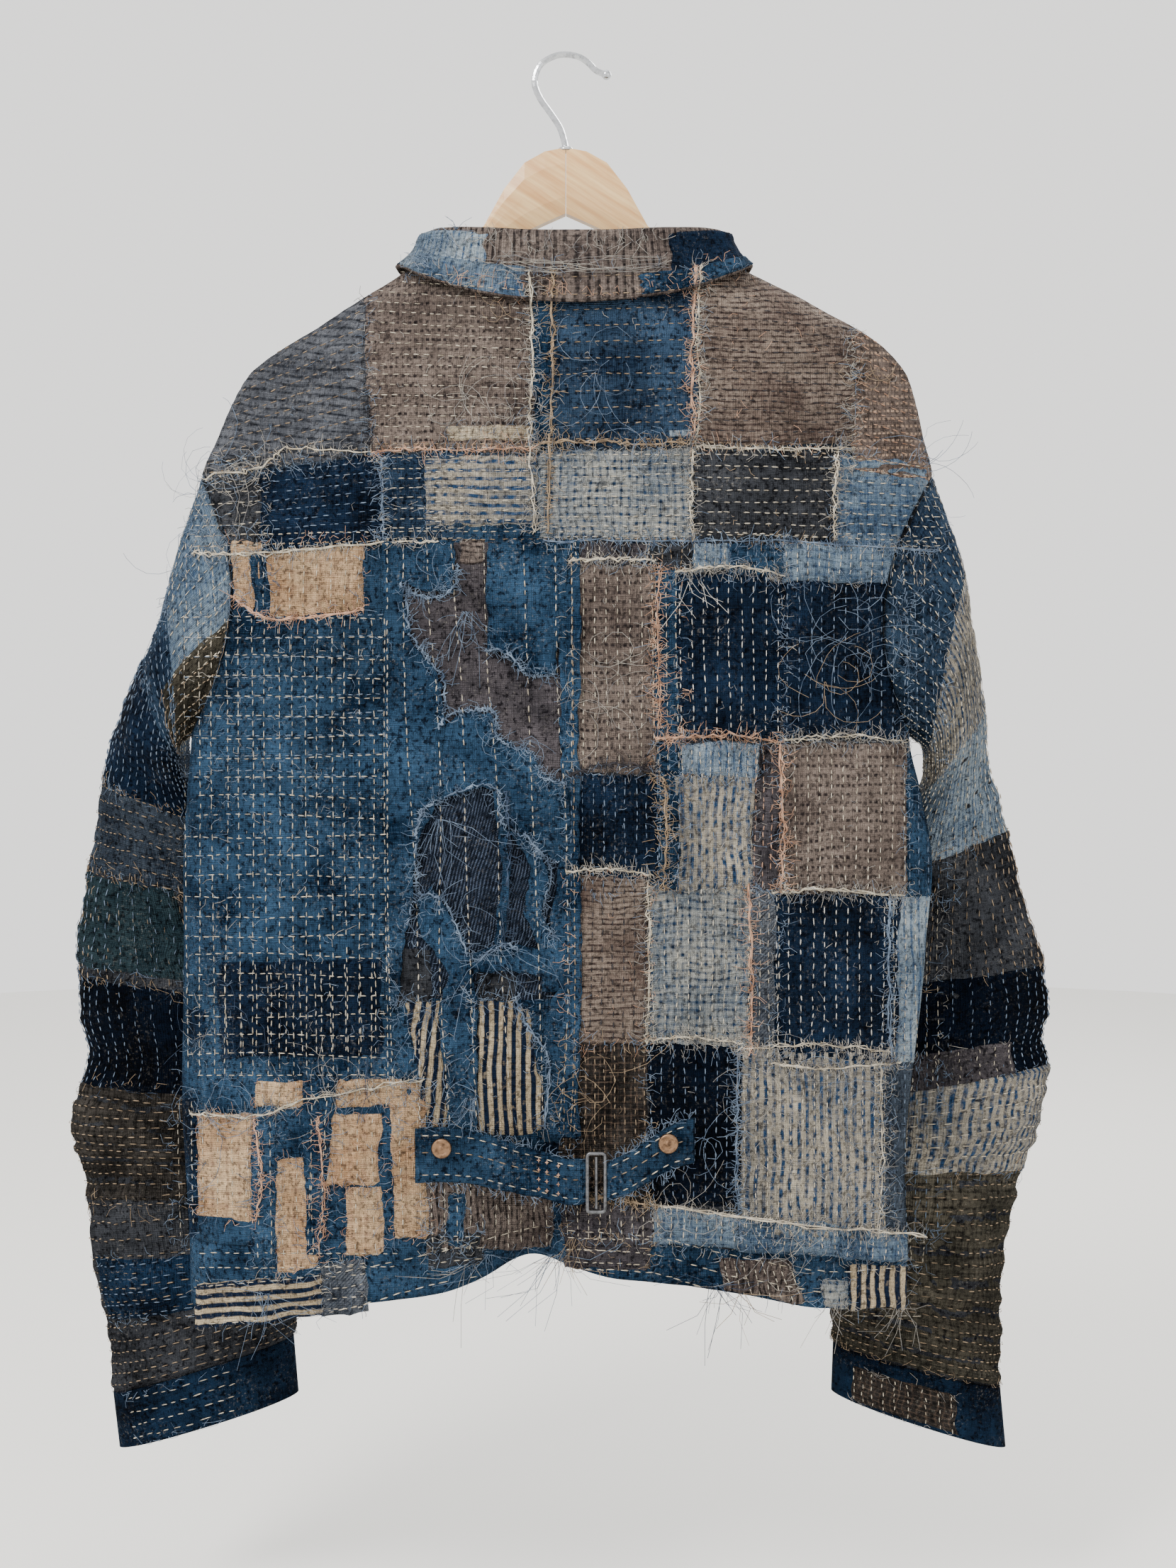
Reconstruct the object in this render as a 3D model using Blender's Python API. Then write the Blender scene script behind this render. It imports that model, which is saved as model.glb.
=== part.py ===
"""A patched and hand-stitched work jacket on a wooden hanger, hung by its wire hook.

Units are metres, +Z is up. The back of the jacket faces -Y. The origin is where the
underside of the wire hook rests on a peg. Left and right are as the picture of the
back shows them, so left is at -X.
"""

import math

import bmesh
import bpy
from mathutils import Vector
from mathutils.bvhtree import BVHTree

# Driving sizes of the cloth
CLOTH = 0.0026
BAND_CLOTH = 0.0036
SEAM_GAP = 0.0003
CENTRE_GAP = 0.0008
TORN_CLOTH = 0.0012

# The armhole, from the drop shoulder tip down to the underarm
ARMHOLE_TOP = -0.262
ARMHOLE_BOTTOM = -0.425
ARMHOLE_BACK = 0.045
ARMHOLE_FRONT = 0.016
ARMHOLE_BOW = 0.029
ARMHOLE_STEPS = 10
YOKE_SEAM_STEP = 3
BACK_COLUMNS = 15
FRONT_COLUMNS = 6

# The shape of the bodice's section, from the middle out to its sides
ROUNDNESS = 2.4
SHOULDER_SOFTNESS = 0.75
SIDE_SOFTNESS = 0.42
ARMHOLE_SOFTNESS = 0.85

# The neck seam, and how far it dips at the centre of the back and of the front
NECK = -0.134
NECK_DIP_BACK = 0.014
NECK_DIP_FRONT = 0.060
NECK_DIP_FADE = 0.110

# Outline of shoulders, armhole line and sides, as the photograph's silhouette gives it
SIDES = [
    # height, left, right
    (-0.130, -0.096, 0.106),
    (-0.140, -0.110, 0.126),
    (-0.150, -0.127, 0.147),
    (-0.160, -0.143, 0.165),
    (-0.170, -0.158, 0.184),
    (-0.180, -0.175, 0.199),
    (-0.190, -0.190, 0.209),
    (-0.200, -0.201, 0.216),
    (-0.220, -0.212, 0.222),
    (-0.240, -0.220, 0.226),
    (-0.262, -0.229, 0.231),
    (-0.300, -0.231, 0.229),
    (-0.425, -0.237, 0.217),
    (-0.460, -0.240, 0.224),
    (-0.505, -0.243, 0.232),
    (-0.555, -0.243, 0.229),
    (-0.605, -0.244, 0.225),
    (-0.655, -0.245, 0.219),
    (-0.700, -0.243, 0.216),
    (-0.745, -0.241, 0.218),
    (-0.800, -0.240, 0.218),
]

# How far the cloth stands off the plane of the hanger
DEPTHS = [
    # height, back, front
    (-0.130, 0.042, 0.026),
    (-0.160, 0.050, 0.027),
    (-0.200, 0.059, 0.026),
    (-0.303, 0.075, 0.024),
    (-0.425, 0.082, 0.020),
    (-0.550, 0.082, 0.018),
    (-0.650, 0.078, 0.018),
    (-0.720, 0.075, 0.018),
    (-0.800, 0.078, 0.018),
]

# Where the bodice meets the hem band, and the hem itself
HEM = [
    # across, top of the band, bottom of the band
    (-0.245, -0.744, -0.787),
    (-0.186, -0.740, -0.781),
    (-0.146, -0.733, -0.774),
    (-0.090, -0.726, -0.766),
    (-0.053, -0.722, -0.760),
    (-0.024, -0.717, -0.752),
    (0.000, -0.717, -0.754),
    (0.050, -0.717, -0.756),
    (0.102, -0.722, -0.764),
    (0.152, -0.733, -0.776),
    (0.192, -0.738, -0.781),
    (0.222, -0.736, -0.778),
]

# Soft troughs in the back. Depth is how far each goes in, towards the wearer
BACK_FOLDS = [
    # top x, top z, bottom x, bottom z, half width, depth at top, depth at bottom
    (-0.010, -0.600, -0.024, -0.800, 0.034, 0.004, 0.060),
    (0.124, -0.315, 0.112, -0.430, 0.011, 0.003, 0.009),
    (0.102, -0.440, 0.086, -0.610, 0.013, 0.004, 0.010),
    (0.060, -0.590, 0.020, -0.690, 0.014, 0.002, 0.012),
    (-0.070, -0.640, -0.034, -0.700, 0.012, 0.001, 0.009),
    (-0.196, -0.330, -0.150, -0.400, 0.013, 0.008, 0.001),
    (0.196, -0.410, 0.140, -0.470, 0.014, 0.008, 0.001),
    (-0.210, -0.460, -0.196, -0.560, 0.012, 0.007, 0.001),
    (0.176, -0.640, 0.180, -0.780, 0.014, 0.001, 0.010),
    (-0.172, -0.650, -0.176, -0.780, 0.016, 0.001, 0.008),
]

# The sleeves, from armhole to cuff. Outer and inner are the two edges of the flattened
# tube, behind is the middle of its thickness from the hanger's plane
LEFT_SLEEVE = [
    # outer x, outer z, inner x, inner z, behind, half thickness
    (-0.2293, -0.262, -0.2373, -0.425, -0.0140, 0.0305),
    (-0.2430, -0.300, -0.2450, -0.432, -0.0060, 0.0340),
    (-0.2590, -0.352, -0.2450, -0.442, 0.0060, 0.0360),
    (-0.2870, -0.410, -0.2420, -0.459, 0.0220, 0.0350),
    (-0.3050, -0.458, -0.2280, -0.487, 0.0390, 0.0290),
    (-0.3180, -0.510, -0.2040, -0.533, 0.0460, 0.0250),
    (-0.3240, -0.565, -0.1820, -0.582, 0.0470, 0.0235),
    (-0.3245, -0.610, -0.1720, -0.624, 0.0470, 0.0230),
    (-0.3240, -0.650, -0.1700, -0.662, 0.0470, 0.0230),
    (-0.3310, -0.689, -0.1710, -0.690, 0.0470, 0.0225),
    (-0.3240, -0.722, -0.1720, -0.716, 0.0470, 0.0225),
    (-0.3160, -0.780, -0.1760, -0.762, 0.0470, 0.0215),
    (-0.3080, -0.828, -0.1800, -0.800, 0.0470, 0.0200),
    (-0.3040, -0.8657, -0.1830, -0.8277, 0.0470, 0.0175),
]
RIGHT_SLEEVE = [
    (0.2313, -0.262, 0.2173, -0.425, -0.0140, 0.0305),
    (0.2460, -0.300, 0.2280, -0.434, -0.0060, 0.0340),
    (0.2590, -0.352, 0.2300, -0.446, 0.0060, 0.0360),
    (0.2710, -0.408, 0.2300, -0.463, 0.0220, 0.0350),
    (0.2810, -0.455, 0.2180, -0.490, 0.0390, 0.0290),
    (0.2980, -0.510, 0.1960, -0.535, 0.0460, 0.0250),
    (0.3140, -0.565, 0.1750, -0.584, 0.0470, 0.0235),
    (0.3210, -0.608, 0.1660, -0.625, 0.0470, 0.0230),
    (0.3220, -0.640, 0.1640, -0.664, 0.0470, 0.0230),
    (0.3160, -0.680, 0.1650, -0.692, 0.0470, 0.0225),
    (0.3040, -0.722, 0.1670, -0.718, 0.0470, 0.0225),
    (0.2930, -0.776, 0.1720, -0.766, 0.0470, 0.0215),
    (0.2910, -0.825, 0.1760, -0.803, 0.0470, 0.0200),
    (0.2900, -0.8617, 0.1780, -0.8327, 0.0470, 0.0175),
]
LEFT_CUFF = [
    (-0.3040, -0.8660, -0.1830, -0.8280, 0.0470, 0.0180),
    (-0.3000, -0.9030, -0.1800, -0.8660, 0.0470, 0.0180),
]
RIGHT_CUFF = [
    (0.2900, -0.8620, 0.1780, -0.8330, 0.0470, 0.0180),
    (0.2940, -0.9030, 0.1770, -0.8650, 0.0470, 0.0180),
]
# Creases round the sleeves: where along, on which side of the tube, and how deep
SLEEVE_FOLDS = [
    # station, centre angle in degrees, spread along, spread round, depth
    (3.5, 100, 0.40, 36, 0.0060),
    (4.6, 60, 0.40, 44, 0.0050),
    (5.7, 90, 0.40, 50, 0.0040),
    (7.7, 40, 0.40, 46, 0.0060),
    (8.8, 120, 0.45, 40, 0.0060),
    (9.8, 60, 0.35, 50, 0.0050),
    (10.8, 100, 0.35, 44, 0.0045),
    (11.8, 70, 0.30, 50, 0.0040),
    (8.0, 260, 0.45, 50, 0.0050),
    (10.0, 290, 0.45, 50, 0.0050),
]
SLEEVE_ROUND = 2 * ARMHOLE_STEPS
SLEEVE_ALONG = 18
SLEEVE_FLATNESS = 0.86

# The collar: a stand that turns over into a fall
COLLAR_END = 158.0
COLLAR_ROUND = 26
COLLAR_ACROSS = 8
COLLAR_CLOTH = 0.0024
COLLAR_LIFT = 0.0010
COLLAR_FOLD_RADIUS = 0.0032
COLLAR = [
    # degrees from centre back, stand height, lean out, fall length, fall spread
    (0, 0.025, -0.004, 0.044, 0.0130),
    (30, 0.024, -0.005, 0.040, 0.0140),
    (55, 0.020, -0.009, 0.030, 0.0150),
    (80, 0.015, -0.014, 0.019, 0.0130),
    (100, 0.015, -0.014, 0.019, 0.0130),
    (125, 0.022, -0.008, 0.036, 0.0150),
    (158, 0.026, -0.002, 0.048, 0.0130),
]

# The cinch at the back: a strap from each side and a buckle where they meet
LEFT_STRAP = [
    # across, middle height, half height, stand-off
    (-0.090, -0.678, 0.0165, 0.0),
    (-0.070, -0.678, 0.0165, 0.0),
    (-0.048, -0.683, 0.0160, 0.0010),
    (-0.025, -0.691, 0.0150, 0.0060),
    (0.000, -0.696, 0.0140, 0.0100),
    (0.0132, -0.696, 0.0135, 0.0080),
]
RIGHT_STRAP = [
    (0.0248, -0.696, 0.0120, 0.0060),
    (0.036, -0.690, 0.0125, 0.0040),
    (0.050, -0.681, 0.0130, 0.0020),
    (0.064, -0.673, 0.0135, 0.0),
    (0.078, -0.669, 0.0140, 0.0),
]
STRAP_CLOTH = 0.0028
STRAP_LIFT = 0.0011
BUCKLE_WIRE = 0.0012
BUCKLE_CENTRE = (0.019, -0.696)
BUCKLE_HALF = (0.0042, 0.0175)
STUD_RADIUS = 0.0060
STUD_HEIGHT = 0.0022
LEFT_STUD = (-0.076, -0.673)
RIGHT_STUD = (0.064, -0.665)

# The torn outer layer left of the centre back, and the rips through it
TORN_COLUMNS = 5
TORN_FINER = 3
TORN_TOP = -0.307
TORN_BOTTOM = -0.655
TORN_DOWN = 40
TORN_LIFT = 0.0008
TORN_RIPS = [
    # centre x, centre z, half width, half height, lean
    (-0.070, -0.372, 0.020, 0.042, 0.06),
    (-0.028, -0.403, 0.019, 0.016, 0.30),
    (-0.072, -0.500, 0.015, 0.036, -0.05),
    (-0.068, -0.562, 0.013, 0.022, 0.20),
    (-0.030, -0.505, 0.018, 0.044, 0.05),
    (-0.027, -0.568, 0.015, 0.018, -0.10),
    (-0.084, -0.628, 0.012, 0.026, 0.10),
    (-0.034, -0.624, 0.018, 0.028, 0.12),
]

# Front closing
BUTTON_COUNT = 5
BUTTON_RADIUS = 0.0085
BUTTON_HEIGHT = 0.0040
BUTTON_TOP = -0.235
BUTTON_BOTTOM = -0.690
BAND_HALF = 0.016

# The hanger
WOOD_HALF = 0.0060
WOOD_TOP = -0.057
WOOD_NOTCH = -0.098
ARM_END = 0.178
ARM = [
    # across, top edge, bottom edge
    (0.0002, -0.0570, -0.0980),
    (0.0160, -0.0605, -0.1050),
    (0.0310, -0.0710, -0.1120),
    (0.0400, -0.0850, -0.1165),
    (0.0500, -0.1040, -0.1220),
    (0.0700, -0.1205, -0.1350),
    (0.1000, -0.1395, -0.1560),
    (0.1300, -0.1580, -0.1760),
    (0.1600, -0.1770, -0.1950),
    (0.1760, -0.1880, -0.2030),
    (0.1800, -0.1940, -0.2010),
]
ARM_TILT = 0.0
HOOK_WIRE = 0.0020
HOOK = [
    # across, height, of the middle of the wire
    (0.0000, -0.0565),
    (-0.0015, -0.0500),
    (-0.0040, -0.0430),
    (-0.0100, -0.0340),
    (-0.0158, -0.0260),
    (-0.0195, -0.0170),
    (-0.0185, -0.0090),
    (-0.0145, -0.0030),
    (-0.0070, 0.0010),
    (0.0000, 0.0020),
    (0.0080, 0.0006),
    (0.0140, -0.0030),
    (0.0190, -0.0080),
    (0.0250, -0.0105),
]
HOOK_STEPS = 32


def smooth_table(rows, column):
    """A smooth curve through one column of a table whose first column is where."""
    places = [row[0] for row in rows]
    values = [row[column] for row in rows]
    if places[0] > places[-1]:
        places.reverse()
        values.reverse()
    last = len(places) - 1

    def slope(i):
        low, high = max(i - 1, 0), min(i + 1, last)
        return (values[high] - values[low]) / (places[high] - places[low])

    def value(where):
        where = min(max(where, places[0]), places[-1])
        i = 0
        while i < last - 1 and where > places[i + 1]:
            i += 1
        span = places[i + 1] - places[i]
        t = (where - places[i]) / span
        return (
            (1 + 2 * t) * (1 - t) ** 2 * values[i]
            + t * (1 - t) ** 2 * span * slope(i)
            + t * t * (3 - 2 * t) * values[i + 1]
            + t * t * (t - 1) * span * slope(i + 1)
        )

    return value


def numbered(rows):
    """The rows with their number put first, so that a smooth curve can run through them."""
    return [(number, *row) for number, row in enumerate(rows)]


side_left = smooth_table(SIDES, 1)
side_right = smooth_table(SIDES, 2)
depth_back = smooth_table(DEPTHS, 1)
depth_front = smooth_table(DEPTHS, 2)
band_top = smooth_table(HEM, 1)
hem = smooth_table(HEM, 2)


def armhole_sine(z):
    """0 at the shoulder tip and the underarm, 1 halfway down the armhole."""
    middle = (ARMHOLE_TOP + ARMHOLE_BOTTOM) / 2
    half = (ARMHOLE_TOP - ARMHOLE_BOTTOM) / 2
    return math.sqrt(max(0.0, 1 - ((z - middle) / half) ** 2))


def fold_depth(x, z):
    """How far the folds of the back go in at this place."""
    total = 0.0
    for top_x, top_z, low_x, low_z, width, top_depth, low_depth in BACK_FOLDS:
        t = (top_z - z) / (top_z - low_z)
        inside = min(max(t, 0.0), 1.0)
        away = x - (top_x + (low_x - top_x) * inside)
        past = (t - inside) * (top_z - low_z)
        depth = top_depth + (low_depth - top_depth) * inside
        total += depth * math.exp(-(away / width) ** 2 - (past / (1.6 * width)) ** 2)
    return total


def spread(turn):
    """Share of the half width at this turn, with the columns evenly spaced round the cloth."""
    place = abs(turn) * (len(ARC) - 1)
    low = min(int(place), len(ARC) - 2)
    return math.copysign(ARC[low] + (ARC[low + 1] - ARC[low]) * (place - low), turn)


def even_arc(steps):
    """Shares of the half width that lie evenly spaced round a plain section."""
    half, deep, fine = 0.232, 0.078, 400
    points = []
    for i in range(fine + 1):
        angle = math.pi / 2 * i / fine
        share = math.sin(angle) ** (2 / ROUNDNESS)
        points.append((share, half * share, deep * math.cos(angle) ** (2 * SIDE_SOFTNESS)))
    run = [0.0]
    for before, after in zip(points, points[1:]):
        run.append(run[-1] + math.hypot(after[1] - before[1], after[2] - before[2]))
    shares, i = [], 0
    for step in range(steps + 1):
        while i < fine and run[i] < run[-1] * step / steps:
            i += 1
        shares.append(points[i][0])
    return shares


ARC = even_arc(90)


def softness(z, sine):
    """How soon the section falls away from the middle: soft at the shoulders and armholes."""
    shoulder = min(max((z - ARMHOLE_TOP - 0.01) / 0.09, 0.0), 1.0)
    base = SIDE_SOFTNESS + (SHOULDER_SOFTNESS - SIDE_SOFTNESS) * shoulder
    return base + (ARMHOLE_SOFTNESS - base) * sine


def armhole_edge(z, side, towards_back, inset=0.0):
    """Where the bodice ends at this height: the armhole, the shoulder line or the side."""
    sine = armhole_sine(z)
    across = side_left(z) if side < 0 else side_right(z)
    end = max(0.0, (ARMHOLE_BACK if towards_back else ARMHOLE_FRONT) * sine - inset)
    return across - side * (ARMHOLE_BOW * sine**2 + inset), end


def section(turn, z, towards_back, inset=0.0, lift=0.0):
    """A point of the bodice. turn runs from -1 at the left side to 1 at the right."""
    u = spread(turn)
    sine = armhole_sine(z)
    swell = (1 - min(1.0, abs(u)) ** ROUNDNESS) ** softness(z, sine)
    left, end = armhole_edge(z, -1, towards_back, inset)
    right, _ = armhole_edge(z, 1, towards_back, inset)
    x = (left + right) / 2 + u * (right - left) / 2
    depth = depth_back(z) if towards_back else depth_front(z)
    y = end + (depth - inset + lift - end) * swell
    if towards_back:
        y -= fold_depth(x, z) * min(1.0, 1.4 * swell)
    y += SEAM_GAP / 2
    return Vector((x, -y if towards_back else y, z))


def armhole_row(step):
    """Height of one step of the armhole, spaced as the sleeve's ring is."""
    middle = (ARMHOLE_TOP + ARMHOLE_BOTTOM) / 2
    half = (ARMHOLE_TOP - ARMHOLE_BOTTOM) / 2
    return middle + half * math.cos(math.pi * step / ARMHOLE_STEPS)


def bodice_rows(shoulder_steps, side_steps, lowest):
    """Heights of the bodice's rows, from the neck seam down."""
    rows = [NECK + (ARMHOLE_TOP - NECK) * i / shoulder_steps for i in range(shoulder_steps)]
    rows += [armhole_row(step) for step in range(ARMHOLE_STEPS)]
    rows += [
        ARMHOLE_BOTTOM + (lowest - ARMHOLE_BOTTOM) * i / side_steps
        for i in range(side_steps + 1)
    ]
    return rows


def wall(name, across, down, outer, inner, colour, roughness=0.85):
    """A cloth wall: a grid put on its outer face, and thickened to its inner face."""
    mesh = bmesh.new()
    bmesh.ops.create_grid(mesh, x_segments=across, y_segments=down, size=1.0)
    return finish_wall(name, mesh, outer, inner, colour, roughness)


def finish_wall(name, mesh, outer, inner, colour, roughness):
    """Thickens a surface by giving its faces a second, inner layer, and makes the object."""
    first = list(mesh.verts)
    made = bmesh.ops.extrude_face_region(mesh, geom=list(mesh.faces))
    second = [item for item in made["geom"] if isinstance(item, bmesh.types.BMVert)]
    for vertex in second:
        vertex.co = inner(vertex.co.copy())
    for vertex in first:
        vertex.co = outer(vertex.co.copy())
    bmesh.ops.recalc_face_normals(mesh, faces=list(mesh.faces))
    return object_from(name, mesh, colour, roughness)


def object_from(name, mesh, colour, roughness=0.85, metallic=0.0):
    data = bpy.data.meshes.new(name)
    mesh.to_mesh(data)
    mesh.free()
    made = bpy.data.objects.new(name, data)
    jacket.objects.link(made)
    paint(made, colour, roughness, metallic)
    data.shade_smooth()
    data.set_sharp_from_angle(angle=math.radians(50))
    return made


def paint(thing, colour, roughness, metallic):
    material = bpy.data.materials.new(thing.name)
    material.use_nodes = True
    shader = material.node_tree.nodes["Principled BSDF"]
    shader.inputs["Base Color"].default_value = (*colour, 1.0)
    shader.inputs["Roughness"].default_value = roughness
    shader.inputs["Metallic"].default_value = metallic
    material.diffuse_color = (*colour, 1.0)
    thing.data.materials.append(material)


def step_of(value, steps):
    """Turns a grid coordinate from -1 to 1 into a step from 0."""
    return round((value + 1) / 2 * steps)


def panel_turn(left, right, share):
    """Where a column of a panel stands, kept clear of the seam or closing at the centre."""
    turn = left + (right - left) * (share + 1) / 2
    if left == 0:
        return max(turn, CENTRE_GAP)
    if right == 0:
        return min(turn, -CENTRE_GAP)
    return turn


def bodice_panel(name, left, right, rows, across, towards_back, colour):
    """A part of the bodice between two turns, along the given rows of heights."""
    down = len(rows) - 1

    def at(place, inset):
        turn = panel_turn(left, right, place.x)
        z = rows[step_of(-place.y, down)]
        span = rows[0] - rows[-1]
        if rows[0] > ARMHOLE_TOP:
            dip = NECK_DIP_BACK if towards_back else NECK_DIP_FRONT
            z -= dip * (1 - spread(turn) ** 2) * max(0.0, 1 - (NECK - z) / NECK_DIP_FADE)
        if rows[-1] <= -0.7:
            x = section(turn, rows[-1], towards_back).x
            share = max(0.0, (rows[0] - z - 0.4 * span) / (0.6 * span))
            z += (band_top(x) + SEAM_GAP - rows[-1]) * share
        return section(turn, z, towards_back, inset)

    return wall(name, across, down, lambda p: at(p, 0.0), lambda p: at(p, CLOTH), colour)


def band_panel(name, left, right, across, down, towards_back, colour):
    """A part of the hem band."""

    def at(place, inset):
        turn = panel_turn(left, right, place.x)
        x = section(turn, -0.745, towards_back).x
        share = (1 - place.y) / 2
        z = band_top(x) + (hem(x) - band_top(x)) * share
        return section(turn, z, towards_back, inset, lift=0.0004)

    return wall(name, across, down, lambda p: at(p, 0.0), lambda p: at(p, BAND_CLOTH), colour)


def sleeve_point(columns, station, angle, inset=0.0, folds=1.0):
    """A point of a sleeve: station counts the table's rows, angle 0 is the outer edge."""
    outer_x, outer_z, inner_x, inner_z, behind, half = (c(station) for c in columns)
    middle = Vector(((outer_x + inner_x) / 2, behind, (outer_z + inner_z) / 2))
    reach = Vector(((outer_x - inner_x) / 2, 0, (outer_z - inner_z) / 2))
    length = reach.length
    degrees = math.degrees(angle) % 360
    for where, centre, along, around, depth in SLEEVE_FOLDS:
        turn = (degrees - centre + 180) % 360 - 180
        near = math.exp(-(((station - where) / along) ** 2) - (turn / around) ** 2)
        inset += depth * near * folds
    cosine, sine = math.cos(angle), math.sin(angle)
    wide = math.copysign(abs(cosine) ** SLEEVE_FLATNESS, cosine)
    point = middle + reach * (wide * (length - inset) / length)
    point.y -= sine * (half - inset)
    return point


def armhole_point(side, angle, inset):
    """A point of the sleeve's first ring, which is the bodice's armhole."""
    middle = (ARMHOLE_TOP + ARMHOLE_BOTTOM) / 2
    half = (ARMHOLE_TOP - ARMHOLE_BOTTOM) / 2
    z = middle + half * math.cos(angle)
    across, end = armhole_edge(z, side, math.sin(angle) > 0)
    short = 1 - inset / max(math.hypot(half * math.cos(angle), end), 0.008)
    z = middle + half * math.cos(angle) * short
    y = -math.copysign(end, math.sin(angle)) * short
    return Vector((across + side * SEAM_GAP, y, z))


def sleeve(name, rows, along, colour, thickness=CLOTH, side=0):
    """A flattened tube. With a side given, it starts in that side's armhole."""
    table = numbered(rows)
    columns = [smooth_table(table, column) for column in range(1, 7)]
    last = len(rows) - 1

    def at(place, inset):
        angle = math.atan2(place.y, place.x)
        station = (1 - place.z) / 2 * last
        folds = min(1.0, max(0.0, station - 1.0)) * min(1.0, max(0.0, last - station))
        point = sleeve_point(columns, station, angle, inset, folds)
        if side and station < 2:
            share = (1 - station / 2) ** 2 * (1 + station)
            start = sleeve_point(columns, 0.0, angle, inset)
            point += (armhole_point(side, angle, inset) - start) * share
        return point

    mesh = bmesh.new()
    bmesh.ops.create_cone(
        mesh, cap_ends=False, segments=SLEEVE_ROUND, radius1=1.0, radius2=1.0, depth=2.0
    )
    upright = [e for e in mesh.edges if abs(e.verts[0].co.z - e.verts[1].co.z) > 1.0]
    bmesh.ops.subdivide_edges(mesh, edges=upright, cuts=along - 1, use_grid_fill=True)
    was = mesh.verts.layers.float_vector.new("place")
    facing = mesh.verts.layers.float_vector.new("facing")
    middle = Vector()
    for vertex in mesh.verts:
        vertex[was] = vertex.co.copy()
        vertex.co = at(vertex.co, 0.0)
        middle += vertex.co / len(mesh.verts)
    mesh.normal_update()
    outward = sum(v.normal.dot(v.co - middle) for v in mesh.verts)
    for vertex in mesh.verts:
        vertex[facing] = math.copysign(1.0, outward) * vertex.normal
    made = bmesh.ops.extrude_face_region(mesh, geom=list(mesh.faces))
    for vertex in made["geom"]:
        if isinstance(vertex, bmesh.types.BMVert):
            place = vertex[was]
            share = min(1.0, (1 - place.z) / 2 * last) if side else 1.0
            square = vertex.co - vertex[facing] * thickness
            vertex.co = at(place, thickness).lerp(square, share)
    bmesh.ops.recalc_face_normals(mesh, faces=list(mesh.faces))
    for layer in (was, facing):
        mesh.verts.layers.float_vector.remove(layer)
    return object_from(name, mesh, colour)


def collar_profile(share, stand, lean, fall, spread, side):
    """Out and up from the neck seam, along the collar's cloth; side is which face of it."""
    radius = COLLAR_FOLD_RADIUS
    bend = math.pi * radius
    total = stand + bend + fall
    run = share * total
    offset = side * COLLAR_CLOTH / 2
    if run <= stand:
        t = run / stand
        return lean * t - offset, stand * t
    if run <= stand + bend:
        turn = (run - stand) / radius
        reach = radius + offset
        return lean + radius - reach * math.cos(turn), stand + reach * math.sin(turn)
    t = (run - stand - bend) / fall
    flare = spread * t**1.3
    return lean + 2 * radius + offset + flare, stand - math.sqrt(fall**2 - spread**2) * t


collar_columns = [smooth_table(COLLAR, column) for column in range(1, 5)]


def collar_point(place, side):
    """A point of the collar, on its inner or outer face."""
    angle = math.radians(place.x * COLLAR_END)
    degrees = abs(math.degrees(angle))
    stand, lean, fall, flare = (column(degrees) for column in collar_columns)
    share = (place.y + 1) / 2
    out, up = collar_profile(share, stand, lean, fall, flare, side)
    turn = math.sin(angle)
    cosine = math.cos(angle)
    towards_back = cosine >= 0
    half_wide = (side_right(NECK) - side_left(NECK)) / 2 - CLOTH / 2
    middle = (side_right(NECK) + side_left(NECK)) / 2
    deep = (depth_back(NECK) if towards_back else depth_front(NECK)) - CLOTH / 2
    flat = 2 / 2.4
    x = math.copysign(abs(turn) ** flat, turn)
    y = math.copysign(abs(cosine) ** flat, cosine)
    normal = Vector((x / half_wide, -y / deep, 0)).normalized()
    base = Vector((middle + x * half_wide, -y * deep, NECK + COLLAR_LIFT))
    dip = NECK_DIP_BACK if towards_back else NECK_DIP_FRONT
    base.z -= dip * (1 - x**2)
    rumple = 0.0012 * math.sin(7 * angle + 0.6) * share
    return base + normal * (out + rumple) + Vector((0, 0, up))


def collar():
    mesh = bmesh.new()
    bmesh.ops.create_grid(mesh, x_segments=COLLAR_ROUND, y_segments=COLLAR_ACROSS, size=1.0)
    return finish_wall(
        "collar",
        mesh,
        lambda p: collar_point(p, 1.0),
        lambda p: collar_point(p, -1.0),
        (0.10, 0.11, 0.13),
        0.9,
    )


def back_face(x, z, off):
    """The point this far outside the panels of the back, at this x and z."""
    ray = Vector((0, 1, 0))
    hits = [tree.ray_cast(Vector((x, -1, z)), ray)[0] for tree in back_trees]
    return Vector((x, min(hit.y for hit in hits if hit) - off, z))


def surface_tree(thing):
    made = bmesh.new()
    made.from_mesh(thing.data)
    tree = BVHTree.FromBMesh(made)
    made.free()
    return tree


def strap(name, rows, colour):
    """A strip of doubled cloth that lies on the back and bridges its middle fold."""
    middle = smooth_table(rows, 1)
    half = smooth_table(rows, 2)
    off = smooth_table(rows, 3)

    def at(place, thickness):
        x = rows[0][0] + (rows[-1][0] - rows[0][0]) * (place.x + 1) / 2
        z = middle(x) + half(x) * place.y
        y = min(back_face(x, middle(x) + half(x) * k, 0).y for k in (-1, -0.5, 0, 0.5, 1))
        return Vector((x, y - STRAP_LIFT - off(x) - thickness, z))

    return wall(name, 12, 3, lambda p: at(p, STRAP_CLOTH), lambda p: at(p, 0.0), colour)


def strap_face(rows, x):
    """Height and outer face of a strap at this x."""
    z, half, off = (smooth_table(rows, c)(x) for c in (1, 2, 3))
    y = min(back_face(x, z + half * k, 0).y for k in (-1, -0.5, 0, 0.5, 1))
    return z, y - STRAP_LIFT - off - STRAP_CLOTH


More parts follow.
